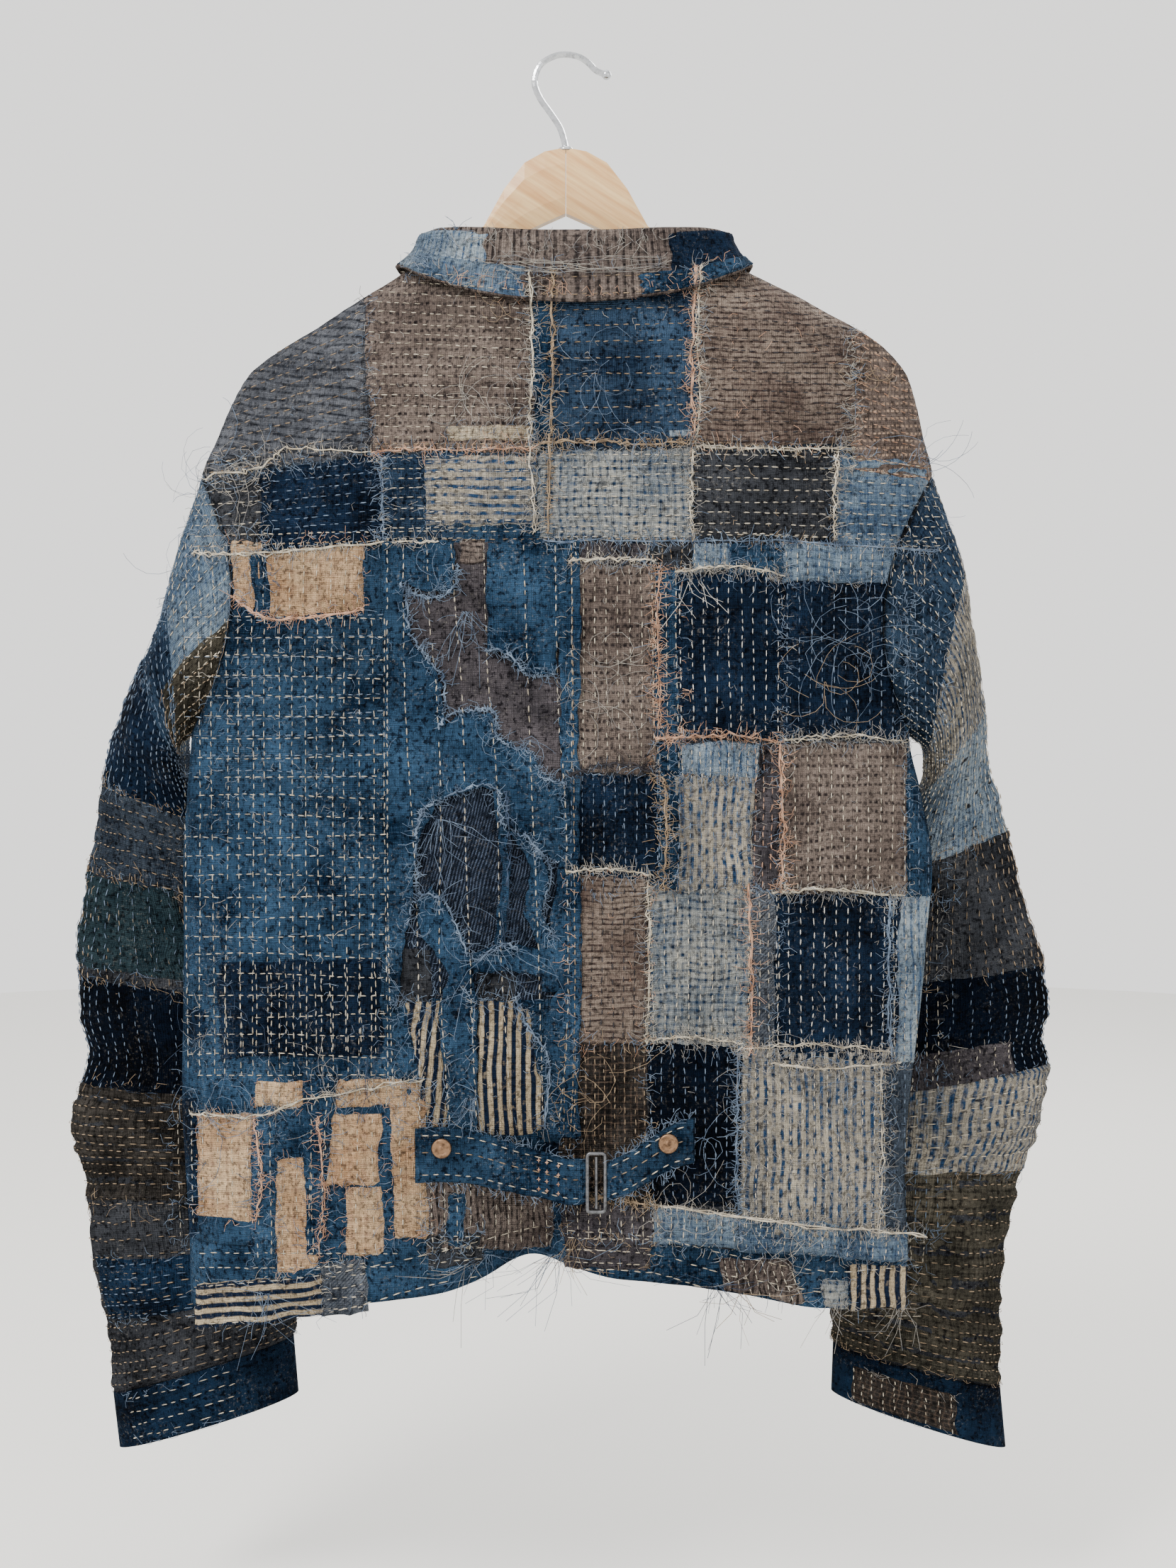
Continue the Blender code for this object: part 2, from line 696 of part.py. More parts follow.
def domed_disc(name, centre, radius, height, outward, colour):
    """A round metal head with a soft edge: a cylinder bevelled on its outer rim."""
    mesh = bmesh.new()
    bmesh.ops.create_cone(
        mesh, cap_ends=True, segments=16, radius1=radius, radius2=radius * 0.86, depth=height
    )
    for vertex in mesh.verts:
        x, y, z = vertex.co
        vertex.co = Vector((x, outward * (z + height / 2), y)) + Vector(centre)
    bmesh.ops.recalc_face_normals(mesh, faces=list(mesh.faces))
    return object_from(name, mesh, colour, 0.45, 0.9)


def wire(name, points, radius, colour, cyclic=False, roughness=0.25):
    """A round bar through points, made a closed mesh."""
    curve = bpy.data.curves.new(name, "CURVE")
    curve.dimensions = "3D"
    curve.bevel_depth = radius
    curve.bevel_resolution = 2
    curve.use_fill_caps = not cyclic
    spline = curve.splines.new("POLY")
    spline.points.add(len(points) - 1)
    for place, point in zip(spline.points, points):
        place.co = (*point, 1.0)
    spline.use_cyclic_u = cyclic
    made = bpy.data.objects.new(name, curve)
    jacket.objects.link(made)
    paint(made, colour, roughness, 1.0)
    return made


def hook():
    path_x = smooth_table([(i, *row) for i, row in enumerate(HOOK)], 1)
    path_z = smooth_table([(i, *row) for i, row in enumerate(HOOK)], 2)
    last = len(HOOK) - 1
    points = []
    for i in range(HOOK_STEPS + 1):
        s = last * i / HOOK_STEPS
        points.append((path_x(s), 0.0, path_z(s)))
    return wire("hanger_hook", points, HOOK_WIRE, (0.72, 0.73, 0.75))


def hanger_arm(name, side):
    """Half of the wooden hanger: a shaped board with softened edges."""
    top = smooth_table(ARM, 1)
    low = smooth_table(ARM, 2)
    steps = 14

    def at(place, face):
        t = (place.x + 1) / 2
        x = ARM[0][0] + (ARM[-1][0] - ARM[0][0]) * t
        share = (place.y + 1) / 2
        soft = 0.0022 * abs(place.y) ** 3
        z = low(x) + (top(x) - low(x)) * share
        return Vector((side * x, face * (WOOD_HALF - soft), z))

    return wall(
        name, steps, 4, lambda p: at(p, -1), lambda p: at(p, 1), (0.80, 0.60, 0.36), 0.5
    )


def rip_value(x, z):
    """Below 1 inside a rip of the torn layer."""
    nearest = 9.0
    for centre_x, centre_z, half_x, half_z, lean in TORN_RIPS:
        dx = (x - centre_x - lean * (z - centre_z)) / half_x
        dz = (z - centre_z) / half_z
        ragged = 0.10 * math.sin(330 * x + 3) + 0.12 * math.sin(230 * z + 1)
        nearest = min(nearest, math.hypot(dx, dz) + ragged)
    return nearest


def settle_on_rip(place, flat):
    """Moves a point of a rip's stepped rim towards the line of the rip itself."""
    step = 0.01
    value = rip_value(*flat(place))
    slope = Vector(
        (
            rip_value(*flat(place + Vector((step, 0, 0)))) - value,
            rip_value(*flat(place + Vector((0, step, 0)))) - value,
            0,
        )
    )
    cell = Vector((2 / (TORN_COLUMNS * TORN_FINER), 2 / TORN_DOWN, 0))
    slope = Vector((slope.x / step * cell.x, slope.y / step * cell.y, 0))
    if slope.length > 1e-6:
        move = slope * ((1.02 - value) / slope.length_squared)
        if move.length > 0.45:
            move *= 0.45 / move.length
        place.x += move.x * cell.x
        place.y += move.y * cell.y


def torn_layer():
    """The worn-through outer cloth: a grid, the faces in its rips left out, on the back."""
    mesh = bmesh.new()
    across = TORN_COLUMNS * TORN_FINER
    bmesh.ops.create_grid(mesh, x_segments=across, y_segments=TORN_DOWN, size=1.0)

    def flat(place):
        z = TORN_BOTTOM + (TORN_TOP - TORN_BOTTOM) * (place.y + 1) / 2
        turn = TORN_COLUMNS / BACK_COLUMNS * (place.x - 1) / 2
        return section(min(turn, -0.016), z, True).x, z

    ripped = [f for f in mesh.faces if rip_value(*flat(f.calc_center_median())) < 1]
    bmesh.ops.delete(mesh, geom=ripped, context="FACES")
    pinched = [v for v in mesh.verts if sum(e.is_boundary for e in v.link_edges) > 2]
    bmesh.ops.delete(mesh, geom=pinched, context="VERTS")
    keep_largest(mesh)
    for vertex in mesh.verts:
        if vertex.is_boundary and max(abs(vertex.co.x), abs(vertex.co.y)) < 0.999:
            settle_on_rip(vertex.co, flat)
            settle_on_rip(vertex.co, flat)

    def at(place, off):
        x, z = flat(place)
        return back_face(x, z, off)

    return finish_wall(
        "torn_layer",
        mesh,
        lambda p: at(p, TORN_LIFT + TORN_CLOTH),
        lambda p: at(p, TORN_LIFT),
        (0.10, 0.19, 0.31),
        0.85,
    )


def keep_largest(mesh):
    """Leaves only the largest connected piece of a surface."""
    left = set(mesh.faces)
    groups = []
    while left:
        start = left.pop()
        group, edge = {start}, [start]
        while edge:
            face = edge.pop()
            near = {f for e in face.edges for f in e.link_faces} & left
            left -= near
            group |= near
            edge.extend(near)
        groups.append(group)
    groups.sort(key=len)
    for group in groups[:-1]:
        bmesh.ops.delete(mesh, geom=list(group), context="FACES")
    loose = [v for v in mesh.verts if not v.link_faces]
    bmesh.ops.delete(mesh, geom=loose, context="VERTS")


def button_band():
    """The strip along the closing, on the wearer's side of the fronts."""

    def at(place, off):
        z = -0.205 + (-0.712 + 0.205) * (1 - place.y) / 2
        x = middle_x(z) + BAND_HALF * place.x
        return front_face(x, z, off)

    return wall(
        "button_band",
        2,
        18,
        lambda p: at(p, SEAM_GAP + 0.0004 + 0.0020),
        lambda p: at(p, SEAM_GAP + 0.0004),
        (0.12, 0.18, 0.26),
    )


def middle_x(z):
    return (side_left(z) + side_right(z)) / 2


def front_face(x, z, off):
    """A point this far outside the fronts, near their middle."""
    return Vector((x, section(0, z, False).y + off, z))


def buttons():
    for number in range(BUTTON_COUNT):
        z = BUTTON_TOP + (BUTTON_BOTTOM - BUTTON_TOP) * number / (BUTTON_COUNT - 1)
        face = front_face(middle_x(z), z, 2 * SEAM_GAP + 0.0008 + 0.0020)
        domed_disc(f"button_{number + 1}", face, BUTTON_RADIUS, BUTTON_HEIGHT, 1, (0.3, 0.22, 0.15))


def cinch():
    strap("cinch_strap_left", LEFT_STRAP, (0.12, 0.24, 0.36))
    strap("cinch_strap_right", RIGHT_STRAP, (0.12, 0.24, 0.36))
    for name, rows, (x, z) in (
        ("cinch_stud_left", LEFT_STRAP, LEFT_STUD),
        ("cinch_stud_right", RIGHT_STRAP, RIGHT_STUD),
    ):
        face = min(strap_face(rows, x + STUD_RADIUS * k)[1] for k in (-1, -0.5, 0, 0.5, 1))
        domed_disc(name, (x, face - SEAM_GAP, z), STUD_RADIUS, STUD_HEIGHT, -1, (0.36, 0.27, 0.2))
    x, z = BUCKLE_CENTRE
    _, left_face = strap_face(LEFT_STRAP, LEFT_STRAP[-1][0])
    _, right_face = strap_face(RIGHT_STRAP, RIGHT_STRAP[0][0])
    y = min(left_face, right_face) + STRAP_CLOTH / 2
    half_x, half_z = BUCKLE_HALF
    corners = []
    for corner in range(4):
        for step in range(3):
            angle = math.pi / 2 * corner + math.pi / 4 * step
            sx = 1 if math.cos(math.pi / 4 + math.pi / 2 * corner) > 0 else -1
            sz = 1 if math.sin(math.pi / 4 + math.pi / 2 * corner) > 0 else -1
            inner = 0.0020
            corners.append(
                (
                    x + sx * (half_x - inner) + inner * math.cos(angle),
                    y,
                    z + sz * (half_z - inner) + inner * math.sin(angle),
                )
            )
    wire("cinch_buckle", corners, BUCKLE_WIRE, (0.65, 0.66, 0.68), cyclic=True)


def bodice():
    rows = bodice_rows(6, 12, -0.7200)
    seam = 6 + YOKE_SEAM_STEP
    yoke_rows = rows[: seam + 1]
    lower_rows = rows[seam:]
    lower_rows[0] -= SEAM_GAP
    wide = BACK_COLUMNS
    bodice_panel("yoke", -1, 1, yoke_rows, 2 * wide, True, (0.24, 0.22, 0.22))
    left = bodice_panel("back_left", -1, 0, lower_rows, wide, True, (0.13, 0.20, 0.30))
    right = bodice_panel("back_right", 0, 1, lower_rows, wide, True, (0.20, 0.21, 0.24))
    front_rows = bodice_rows(5, 7, -0.7200)
    wide = FRONT_COLUMNS
    bodice_panel("front_left", -1, 0, front_rows, wide, False, (0.14, 0.18, 0.24))
    bodice_panel("front_right", 0, 1, front_rows, wide, False, (0.14, 0.18, 0.24))
    band_panel("band_back", -1, 1, 2 * BACK_COLUMNS, 2, True, (0.07, 0.14, 0.24))
    band_panel("band_front_left", -1, 0, wide, 2, False, (0.07, 0.14, 0.24))
    band_panel("band_front_right", 0, 1, wide, 2, False, (0.07, 0.14, 0.24))
    back_trees.extend([surface_tree(left), surface_tree(right)])


def main():
    bodice()
    sleeve("sleeve_left", LEFT_SLEEVE, SLEEVE_ALONG, (0.15, 0.17, 0.21), side=-1)
    sleeve("sleeve_right", RIGHT_SLEEVE, SLEEVE_ALONG, (0.15, 0.17, 0.21), side=1)
    sleeve("cuff_left", LEFT_CUFF, 2, (0.05, 0.10, 0.17), BAND_CLOTH)
    sleeve("cuff_right", RIGHT_CUFF, 2, (0.05, 0.10, 0.17), BAND_CLOTH)
    collar()
    torn_layer()
    cinch()
    button_band()
    buttons()
    hanger_arm("hanger_arm_left", -1)
    hanger_arm("hanger_arm_right", 1)
    hook()


for old in list(bpy.data.objects):
    bpy.data.objects.remove(old)
back_trees = []
jacket = bpy.data.collections.new("boro_jacket")
bpy.context.scene.collection.children.link(jacket)
main()
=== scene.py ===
"""A patched, hand-stitched work jacket hung by its wire hook on a wooden hanger.

Metres, +Z up. The back of the jacket faces -Y, and the underside of the hook is the
origin. Places on the back are given as the picture shows them, in a frame 1500 wide and
2000 high, and every one of them is laid on the cloth that is there.
"""

import math
import random

import bmesh
import bpy
import numpy as np
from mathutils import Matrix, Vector
from mathutils.bvhtree import BVHTree


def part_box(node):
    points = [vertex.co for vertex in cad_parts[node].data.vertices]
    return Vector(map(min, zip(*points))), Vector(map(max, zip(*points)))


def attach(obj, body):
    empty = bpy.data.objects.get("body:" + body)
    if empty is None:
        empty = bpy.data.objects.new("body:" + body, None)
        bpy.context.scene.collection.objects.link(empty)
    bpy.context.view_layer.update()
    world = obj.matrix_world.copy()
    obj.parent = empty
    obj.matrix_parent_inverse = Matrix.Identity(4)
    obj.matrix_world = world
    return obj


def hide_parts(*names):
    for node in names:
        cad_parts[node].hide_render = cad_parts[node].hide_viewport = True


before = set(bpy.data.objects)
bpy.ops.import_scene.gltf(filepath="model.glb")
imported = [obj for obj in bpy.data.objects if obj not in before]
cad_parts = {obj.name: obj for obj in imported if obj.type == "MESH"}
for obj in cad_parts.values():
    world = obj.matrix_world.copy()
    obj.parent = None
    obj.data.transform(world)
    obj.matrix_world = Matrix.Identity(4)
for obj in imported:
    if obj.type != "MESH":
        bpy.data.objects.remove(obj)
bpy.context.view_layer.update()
chance = random.Random(5)

# The sizes of the cloth body, as the solids have them
CLOTH = 0.0022
BAND_CLOTH = 0.0032
SEAM_GAP = 0.0003
ARMHOLE_TOP = -0.262
ARMHOLE_BOTTOM = -0.425
ARMHOLE_BACK = 0.045
ARMHOLE_FRONT = 0.016
ARMHOLE_BOW = 0.029
YOKE_SEAM = -0.2956
NECK = -0.134
NECK_DIP_BACK = 0.014
NECK_DIP_FRONT = 0.06
ROUNDNESS = 2.4
SHOULDER_SOFTNESS = 0.75
SIDE_SOFTNESS = 0.42
ARMHOLE_SOFTNESS = 0.85
SIDES = [
    # height, left, right
    (-0.13, -0.096, 0.106), (-0.14, -0.11, 0.126), (-0.15, -0.127, 0.147), (-0.16, -0.143, 0.165),
    (-0.17, -0.158, 0.184), (-0.18, -0.175, 0.199), (-0.19, -0.19, 0.209), (-0.2, -0.201, 0.216),
    (-0.22, -0.212, 0.222), (-0.24, -0.22, 0.226), (-0.262, -0.229, 0.231), (-0.3, -0.231, 0.229),
    (-0.425, -0.237, 0.217), (-0.46, -0.24, 0.224), (-0.505, -0.243, 0.232), (-0.555, -0.243, 0.229),
    (-0.605, -0.244, 0.225), (-0.655, -0.245, 0.219), (-0.7, -0.243, 0.216), (-0.745, -0.241, 0.218),
    (-0.8, -0.24, 0.218),
]
DEPTHS = [
    # height, back, front
    (-0.13, 0.042, 0.026), (-0.16, 0.05, 0.027), (-0.2, 0.059, 0.026), (-0.303, 0.075, 0.024),
    (-0.425, 0.082, 0.02), (-0.55, 0.082, 0.018), (-0.65, 0.078, 0.018), (-0.72, 0.075, 0.018),
    (-0.8, 0.078, 0.018),
]
HEM = [
    # across, top of the band, bottom of the band
    (-0.245, -0.744, -0.787), (-0.186, -0.74, -0.781), (-0.146, -0.733, -0.774), (-0.09, -0.726, -0.766),
    (-0.053, -0.722, -0.76), (-0.024, -0.717, -0.752), (0.000, -0.717, -0.754), (0.05, -0.717, -0.756),
    (0.102, -0.722, -0.764), (0.152, -0.733, -0.776), (0.192, -0.738, -0.781), (0.222, -0.736, -0.778),
]
BACK_FOLDS = [
    # top x, top z, bottom x, bottom z, half width, depth at top, depth at bottom
    (-0.01, -0.6, -0.024, -0.8, 0.034, 0.004, 0.06), (0.124, -0.315, 0.112, -0.43, 0.011, 0.003, 0.009),
    (0.102, -0.44, 0.086, -0.61, 0.013, 0.004, 0.01), (0.06, -0.59, 0.02, -0.69, 0.014, 0.002, 0.012),
    (-0.07, -0.64, -0.034, -0.7, 0.012, 0.001, 0.009), (-0.196, -0.33, -0.15, -0.4, 0.013, 0.008, 0.001),
    (0.196, -0.41, 0.14, -0.47, 0.014, 0.008, 0.001), (-0.21, -0.46, -0.196, -0.56, 0.012, 0.007, 0.001),
    (0.176, -0.64, 0.18, -0.78, 0.014, 0.001, 0.01), (-0.172, -0.65, -0.176, -0.78, 0.016, 0.001, 0.008),
]
# Narrow creases of the back that the solids leave out
BACK_CREASES = [
    (0.131, -0.328, 0.122, -0.44, 0.005, 0.004, 0.006), (0.122, -0.44, 0.088, -0.62, 0.005, 0.006, 0.002),
    (0.058, -0.52, 0.07, -0.61, 0.006, -0.003, -0.003), (0.15, -0.3, 0.196, -0.335, 0.006, 0.0015, 0.003),
    (-0.12, -0.3, -0.16, -0.35, 0.006, 0.001, 0.0025), (-0.15, -0.56, -0.196, -0.62, 0.007, 0.001, 0.003),
    (-0.14, -0.68, -0.196, -0.7, 0.006, 0.001, 0.003), (0.11, -0.655, 0.15, -0.735, 0.006, 0.001, 0.003),
    (-0.105, -0.655, -0.062, -0.735, 0.006, 0.0005, 0.0035),
     (-0.012, -0.3, -0.02, -0.42, 0.006, 0.001, 0.002),
    (0.04, -0.69, 0.066, -0.735, 0.005, 0.0005, 0.003), (0.2, -0.52, 0.16, -0.56, 0.006, 0.0025, 0.0005),
    (-0.205, -0.4, -0.15, -0.44, 0.005, 0.0025, 0.0005),
]
LEFT_SLEEVE = [
    # outer x, outer z, inner x, inner z, behind, half thickness
    (-0.2293, -0.262, -0.2373, -0.425, -0.014, 0.0305), (-0.243, -0.3, -0.245, -0.432, -0.006, 0.034),
    (-0.259, -0.352, -0.245, -0.442, 0.006, 0.036), (-0.287, -0.41, -0.242, -0.459, 0.022, 0.035),
    (-0.305, -0.458, -0.228, -0.487, 0.039, 0.029), (-0.318, -0.51, -0.204, -0.533, 0.046, 0.025),
    (-0.324, -0.565, -0.182, -0.582, 0.047, 0.0235), (-0.3245, -0.61, -0.172, -0.624, 0.047, 0.023),
    (-0.324, -0.65, -0.17, -0.662, 0.047, 0.023), (-0.331, -0.689, -0.171, -0.69, 0.047, 0.0225),
    (-0.324, -0.722, -0.172, -0.716, 0.047, 0.0225), (-0.316, -0.78, -0.176, -0.762, 0.047, 0.0215),
    (-0.308, -0.828, -0.18, -0.8, 0.047, 0.02), (-0.304, -0.8657, -0.183, -0.8277, 0.047, 0.0175),
]
RIGHT_SLEEVE = [
    (0.2313, -0.262, 0.2173, -0.425, -0.014, 0.0305), (0.246, -0.3, 0.228, -0.434, -0.006, 0.034),
    (0.259, -0.352, 0.23, -0.446, 0.006, 0.036), (0.271, -0.408, 0.23, -0.463, 0.022, 0.035),
    (0.281, -0.455, 0.218, -0.49, 0.039, 0.029), (0.298, -0.51, 0.196, -0.535, 0.046, 0.025),
    (0.314, -0.565, 0.175, -0.584, 0.047, 0.0235), (0.321, -0.608, 0.166, -0.625, 0.047, 0.023),
    (0.322, -0.64, 0.164, -0.664, 0.047, 0.023), (0.316, -0.68, 0.165, -0.692, 0.047, 0.0225),
    (0.304, -0.722, 0.167, -0.718, 0.047, 0.0225), (0.293, -0.776, 0.172, -0.766, 0.047, 0.0215),
    (0.291, -0.825, 0.176, -0.803, 0.047, 0.02), (0.29, -0.8617, 0.178, -0.8327, 0.047, 0.0175),
]
LEFT_CUFF = [
    (-0.304, -0.866, -0.183, -0.828, 0.047, 0.018), (-0.3, -0.903, -0.18, -0.866, 0.047, 0.018),
]
RIGHT_CUFF = [
    (0.29, -0.862, 0.178, -0.833, 0.047, 0.018), (0.294, -0.903, 0.177, -0.865, 0.047, 0.018),
]
SLEEVE_FOLDS = [
    # station, centre angle in degrees, spread along, spread round, depth
    (3.5, 100, 0.4, 36, 0.006), (4.6, 60, 0.4, 44, 0.005), (5.7, 90, 0.4, 50, 0.004),
     (7.7, 40, 0.4, 46, 0.006),
    (8.8, 120, 0.45, 40, 0.006), (9.8, 60, 0.35, 50, 0.005), (10.8, 100, 0.35, 44, 0.0045),
    (11.8, 70, 0.3, 50, 0.004), (8.0, 260, 0.45, 50, 0.005), (10.0, 290, 0.45, 50, 0.005),
]
SLEEVE_FLATNESS = 0.86
COLLAR_END = 158.0
COLLAR_CLOTH = 0.0024
COLLAR_FOLD_RADIUS = 0.0032
COLLAR = [
    # degrees from centre back, stand height, lean out, fall length, fall spread
    (0, 0.025, -0.004, 0.044, 0.013), (30, 0.024, -0.005, 0.04, 0.014), (55, 0.02, -0.009, 0.03, 0.015),
    (80, 0.015, -0.014, 0.019, 0.013), (100, 0.015, -0.014, 0.019, 0.013), (125, 0.022, -0.008, 0.036, 0.015),
    (158, 0.026, -0.002, 0.048, 0.013),
]
EYE = Vector((0.014, -1.21, -0.4145))
EYE_TILT = math.radians(2.03)
EYE_REACH = 2421.0
RAW_EDGE_RADIUS = 0.0006
THREAD_PITCH = 0.00115
PATCH_LIFT = 0.00055
STATION = 0.047
PX = 0.000475


def curve(rows, column):
    """A smooth curve through one column of a table, for whole arrays at once."""
    rows = sorted(rows)
    where = np.array([row[0] for row in rows], float)
    what = np.array([row[column] for row in rows], float)
    last = len(rows) - 1
    low, high = np.maximum(np.arange(last + 1) - 1, 0), np.minimum(np.arange(last + 1) + 1, last)
    slope = (what[high] - what[low]) / (where[high] - where[low])

    def value(place):
        place = np.clip(place, where[0], where[-1])
        i = np.clip(np.searchsorted(where, place, side="right") - 1, 0, last - 1)
        span = where[i + 1] - where[i]
        t = (place - where[i]) / span
        return (
            (1 + 2 * t) * (1 - t) ** 2 * what[i]
            + t * (1 - t) ** 2 * span * slope[i]
            + t * t * (3 - 2 * t) * what[i + 1]
            + t * t * (t - 1) * span * slope[i + 1]
        )

    return value


def numbered(rows):
    return [(number, *row) for number, row in enumerate(rows)]


side_left, side_right = curve(SIDES, 1), curve(SIDES, 2)
depth_back, depth_front = curve(DEPTHS, 1), curve(DEPTHS, 2)
band_top, hem = curve(HEM, 1), curve(HEM, 2)
LATTICE = np.random.default_rng(11).random((128, 128)) * 2 - 1


def rumple(a, b):
    """Soft random unevenness from -1 to 1, about one swell to each unit of a and b."""
    i, j = np.floor(a).astype(int), np.floor(b).astype(int)
    f, g = a - i, b - j
    f, g = f * f * (3 - 2 * f), g * g * (3 - 2 * g)
    at = lambda p, q: LATTICE[p % 128, q % 128]
    return (at(i, j) * (1 - f) + at(i + 1, j) * f) * (1 - g) + (
        at(i, j + 1) * (1 - f) + at(i + 1, j + 1) * f
    ) * g


def arc_shares():
    """Shares of the half width that lie evenly spaced round a plain section."""
    angle = np.linspace(0, math.pi / 2, 401)
    share = np.sin(angle) ** (2 / ROUNDNESS)
    across, deep = 0.232 * share, 0.078 * np.cos(angle) ** (2 * SIDE_SOFTNESS)
    run = np.concatenate([[0], np.cumsum(np.hypot(np.diff(across), np.diff(deep)))])
    return np.interp(np.linspace(0, run[-1], 91), run, share)


ARC = arc_shares()


def spread(turn):
    return np.copysign(np.interp(np.abs(turn), np.linspace(0, 1, 91), ARC), turn)


def armhole_sine(z):
    middle = (ARMHOLE_TOP + ARMHOLE_BOTTOM) / 2
    half = (ARMHOLE_TOP - ARMHOLE_BOTTOM) / 2
    return np.sqrt(np.maximum(0.0, 1 - ((z - middle) / half) ** 2))


def troughs(table, x, z):
    """How far the folds in this table go in at each place."""
    total = np.zeros_like(x)
    for top_x, top_z, low_x, low_z, width, top_depth, low_depth in table:
        t = (top_z - z) / (top_z - low_z)
        inside = np.clip(t, 0.0, 1.0)
        away = x - (top_x + (low_x - top_x) * inside)
        past = (t - inside) * (top_z - low_z)
        depth = top_depth + (low_depth - top_depth) * inside
        total += depth * np.exp(-((away / width) ** 2) - (past / (1.6 * width)) ** 2)
    return total


def bodice_edges(z):
    sine = armhole_sine(z)
    bow = ARMHOLE_BOW * sine**2
    return side_left(z) + bow, side_right(z) - bow


def bodice_y(x, z, back=True, lift=0.0):
    """How far behind or before the hanger the cloth of the bodice is."""
    sine = armhole_sine(z)
    left, right = bodice_edges(z)
    u = np.clip((x - (left + right) / 2) / ((right - left) / 2), -1, 1)
    shoulder = np.clip((z - ARMHOLE_TOP - 0.01) / 0.09, 0.0, 1.0)
    soft = SIDE_SOFTNESS + (SHOULDER_SOFTNESS - SIDE_SOFTNESS) * shoulder
    soft = soft + (ARMHOLE_SOFTNESS - soft) * sine
    swell = (1 - np.minimum(1.0, np.abs(u)) ** ROUNDNESS) ** soft
    end = (ARMHOLE_BACK if back else ARMHOLE_FRONT) * sine
    depth = depth_back(z) if back else depth_front(z)
    y = end + (depth + lift - end) * swell
    calm = 1 - np.exp(-((x - 0.0) / 0.085) ** 2 - ((z + 0.683) / 0.022) ** 2)
    loose = np.minimum(1.0, 2.2 * swell) * calm
    uneven = 0.0016 * rumple(x / 0.034 + 3, z / 0.06) + 0.0009 * rumple(x / 0.015, z / 0.019)
    uneven += 0.00035 * rumple(x / 0.0062, z / 0.0066)
    if back:
        y -= troughs(BACK_FOLDS, x, z) * np.minimum(1.0, 1.4 * swell)
        y += (uneven - 0.0006 - troughs(BACK_CREASES, x, z)) * loose
    else:
        closing = np.clip((np.abs(x - (left + right) / 2) - 0.018) / 0.02, 0, 1)
        y += (uneven - 0.0014) * loose * closing
    y += SEAM_GAP / 2
    return -y if back else y


def keep_inside(x, z):
    left, right = bodice_edges(z)
    return np.clip(x, left + 0.0006, right - 0.0006)


def back_place(px, py):
    """Where the back is that the picture shows at px, py."""
    slant = np.tan(EYE_TILT + np.arctan((py - 1000) / EYE_REACH))
    y = np.full_like(px, -0.06)
    for _ in range(7):
        x = EYE.x + (px - 750) * (y - EYE.y) / EYE_REACH
        z = EYE.z - (y - EYE.y) * slant
        x = keep_inside(x, z)
        y = 0.4 * y + 0.6 * bodice_y(x, z)
    return x, z


# Colours and cloths


def tint(text):
    """A colour written as six hexadecimal digits, in the shader's linear values."""
    parts = [int(text[i : i + 2], 16) / 255 for i in (0, 2, 4)]
    return tuple(c / 12.92 if c <= 0.04045 else ((c + 0.055) / 1.055) ** 2.4 for c in parts) + (1.0,)


class Value:
    """A shader socket that can be added, multiplied and so on, each with a Math node."""

    def __init__(self, dye, socket):
        self.dye, self.socket = dye, socket

    def sum_of(self, kind, one, two):
        return self.dye.node("ShaderNodeMath", {"operation": kind}, {0: one, 1: two})

    def __add__(self, other):
        return self.sum_of("ADD", self, other)

    def __radd__(self, other):
        return self.sum_of("ADD", other, self)

    def __sub__(self, other):
        return self.sum_of("SUBTRACT", self, other)

    def __rsub__(self, other):
        return self.sum_of("SUBTRACT", other, self)

    def __mul__(self, other):
        return self.sum_of("MULTIPLY", self, other)

    def __rmul__(self, other):
        return self.sum_of("MULTIPLY", other, self)

    def cosine(self):
        return self.dye.node("ShaderNodeMath", {"operation": "COSINE"}, {0: self})

    def between(self, low, high):
        """0 below low, 1 above high, and a straight slope between."""
        return self.dye.node("ShaderNodeMapRange", {}, {0: self, 1: low, 2: high})


class Dye:
    """The nodes of one material."""

    def __init__(self, name, roughness=0.9, metallic=0.0, **more):
        self.material = bpy.data.materials.new(name)
        self.material.use_nodes = True
        self.tree = self.material.node_tree
        self.shader = self.tree.nodes["Principled BSDF"]
        self.shader.inputs["Roughness"].default_value = roughness
        self.shader.inputs["Metallic"].default_value = metallic
        for key, value in more.items():
            self.shader.inputs[key.replace("_", " ")].default_value = value

    def node(self, kind, settings=None, sockets=None, out=0):
        made = self.tree.nodes.new(kind)
        for key, value in (settings or {}).items():
            setattr(made, key, value)
        for key, value in (sockets or {}).items():
            if isinstance(value, Value):
                self.tree.links.new(value.socket, made.inputs[key])
            else:
                made.inputs[key].default_value = value
        return Value(self, made.outputs[out])

    def give(self, name, value):
        self.tree.links.new(value.socket, self.shader.inputs[name])

    def mix(self, share, one, two, kind="MIX"):
        return self.node(
            "ShaderNodeMix",
            {"data_type": "RGBA", "blend_type": kind},
            {0: share, 6: one, 7: two},
            out=2,
        )

    def noise(self, where, scale, detail=2.0, rough=0.5):
        return self.node(
            "ShaderNodeTexNoise",
            {},
            {"Vector": where, "Scale": scale, "Detail": detail, "Roughness": rough},
        )

    def stretched(self, where, by):
        return self.node("ShaderNodeMapping", {}, {"Vector": where, "Scale": by})

    def bump(self, height, distance, strength=1.0):
        made = self.node(
            "ShaderNodeBump", {}, {"Height": height, "Distance": distance, "Strength": strength}
        )
        self.give("Normal", made)


def bars(value, pitch, share, soft=0.35):
    """Lines of 1 across a run of 0, each this share of the pitch wide."""
    wave = (value * (2 * math.pi / pitch)).cosine()
    edge = math.cos(math.pi * share)
    return wave.between(edge - soft, edge + soft)


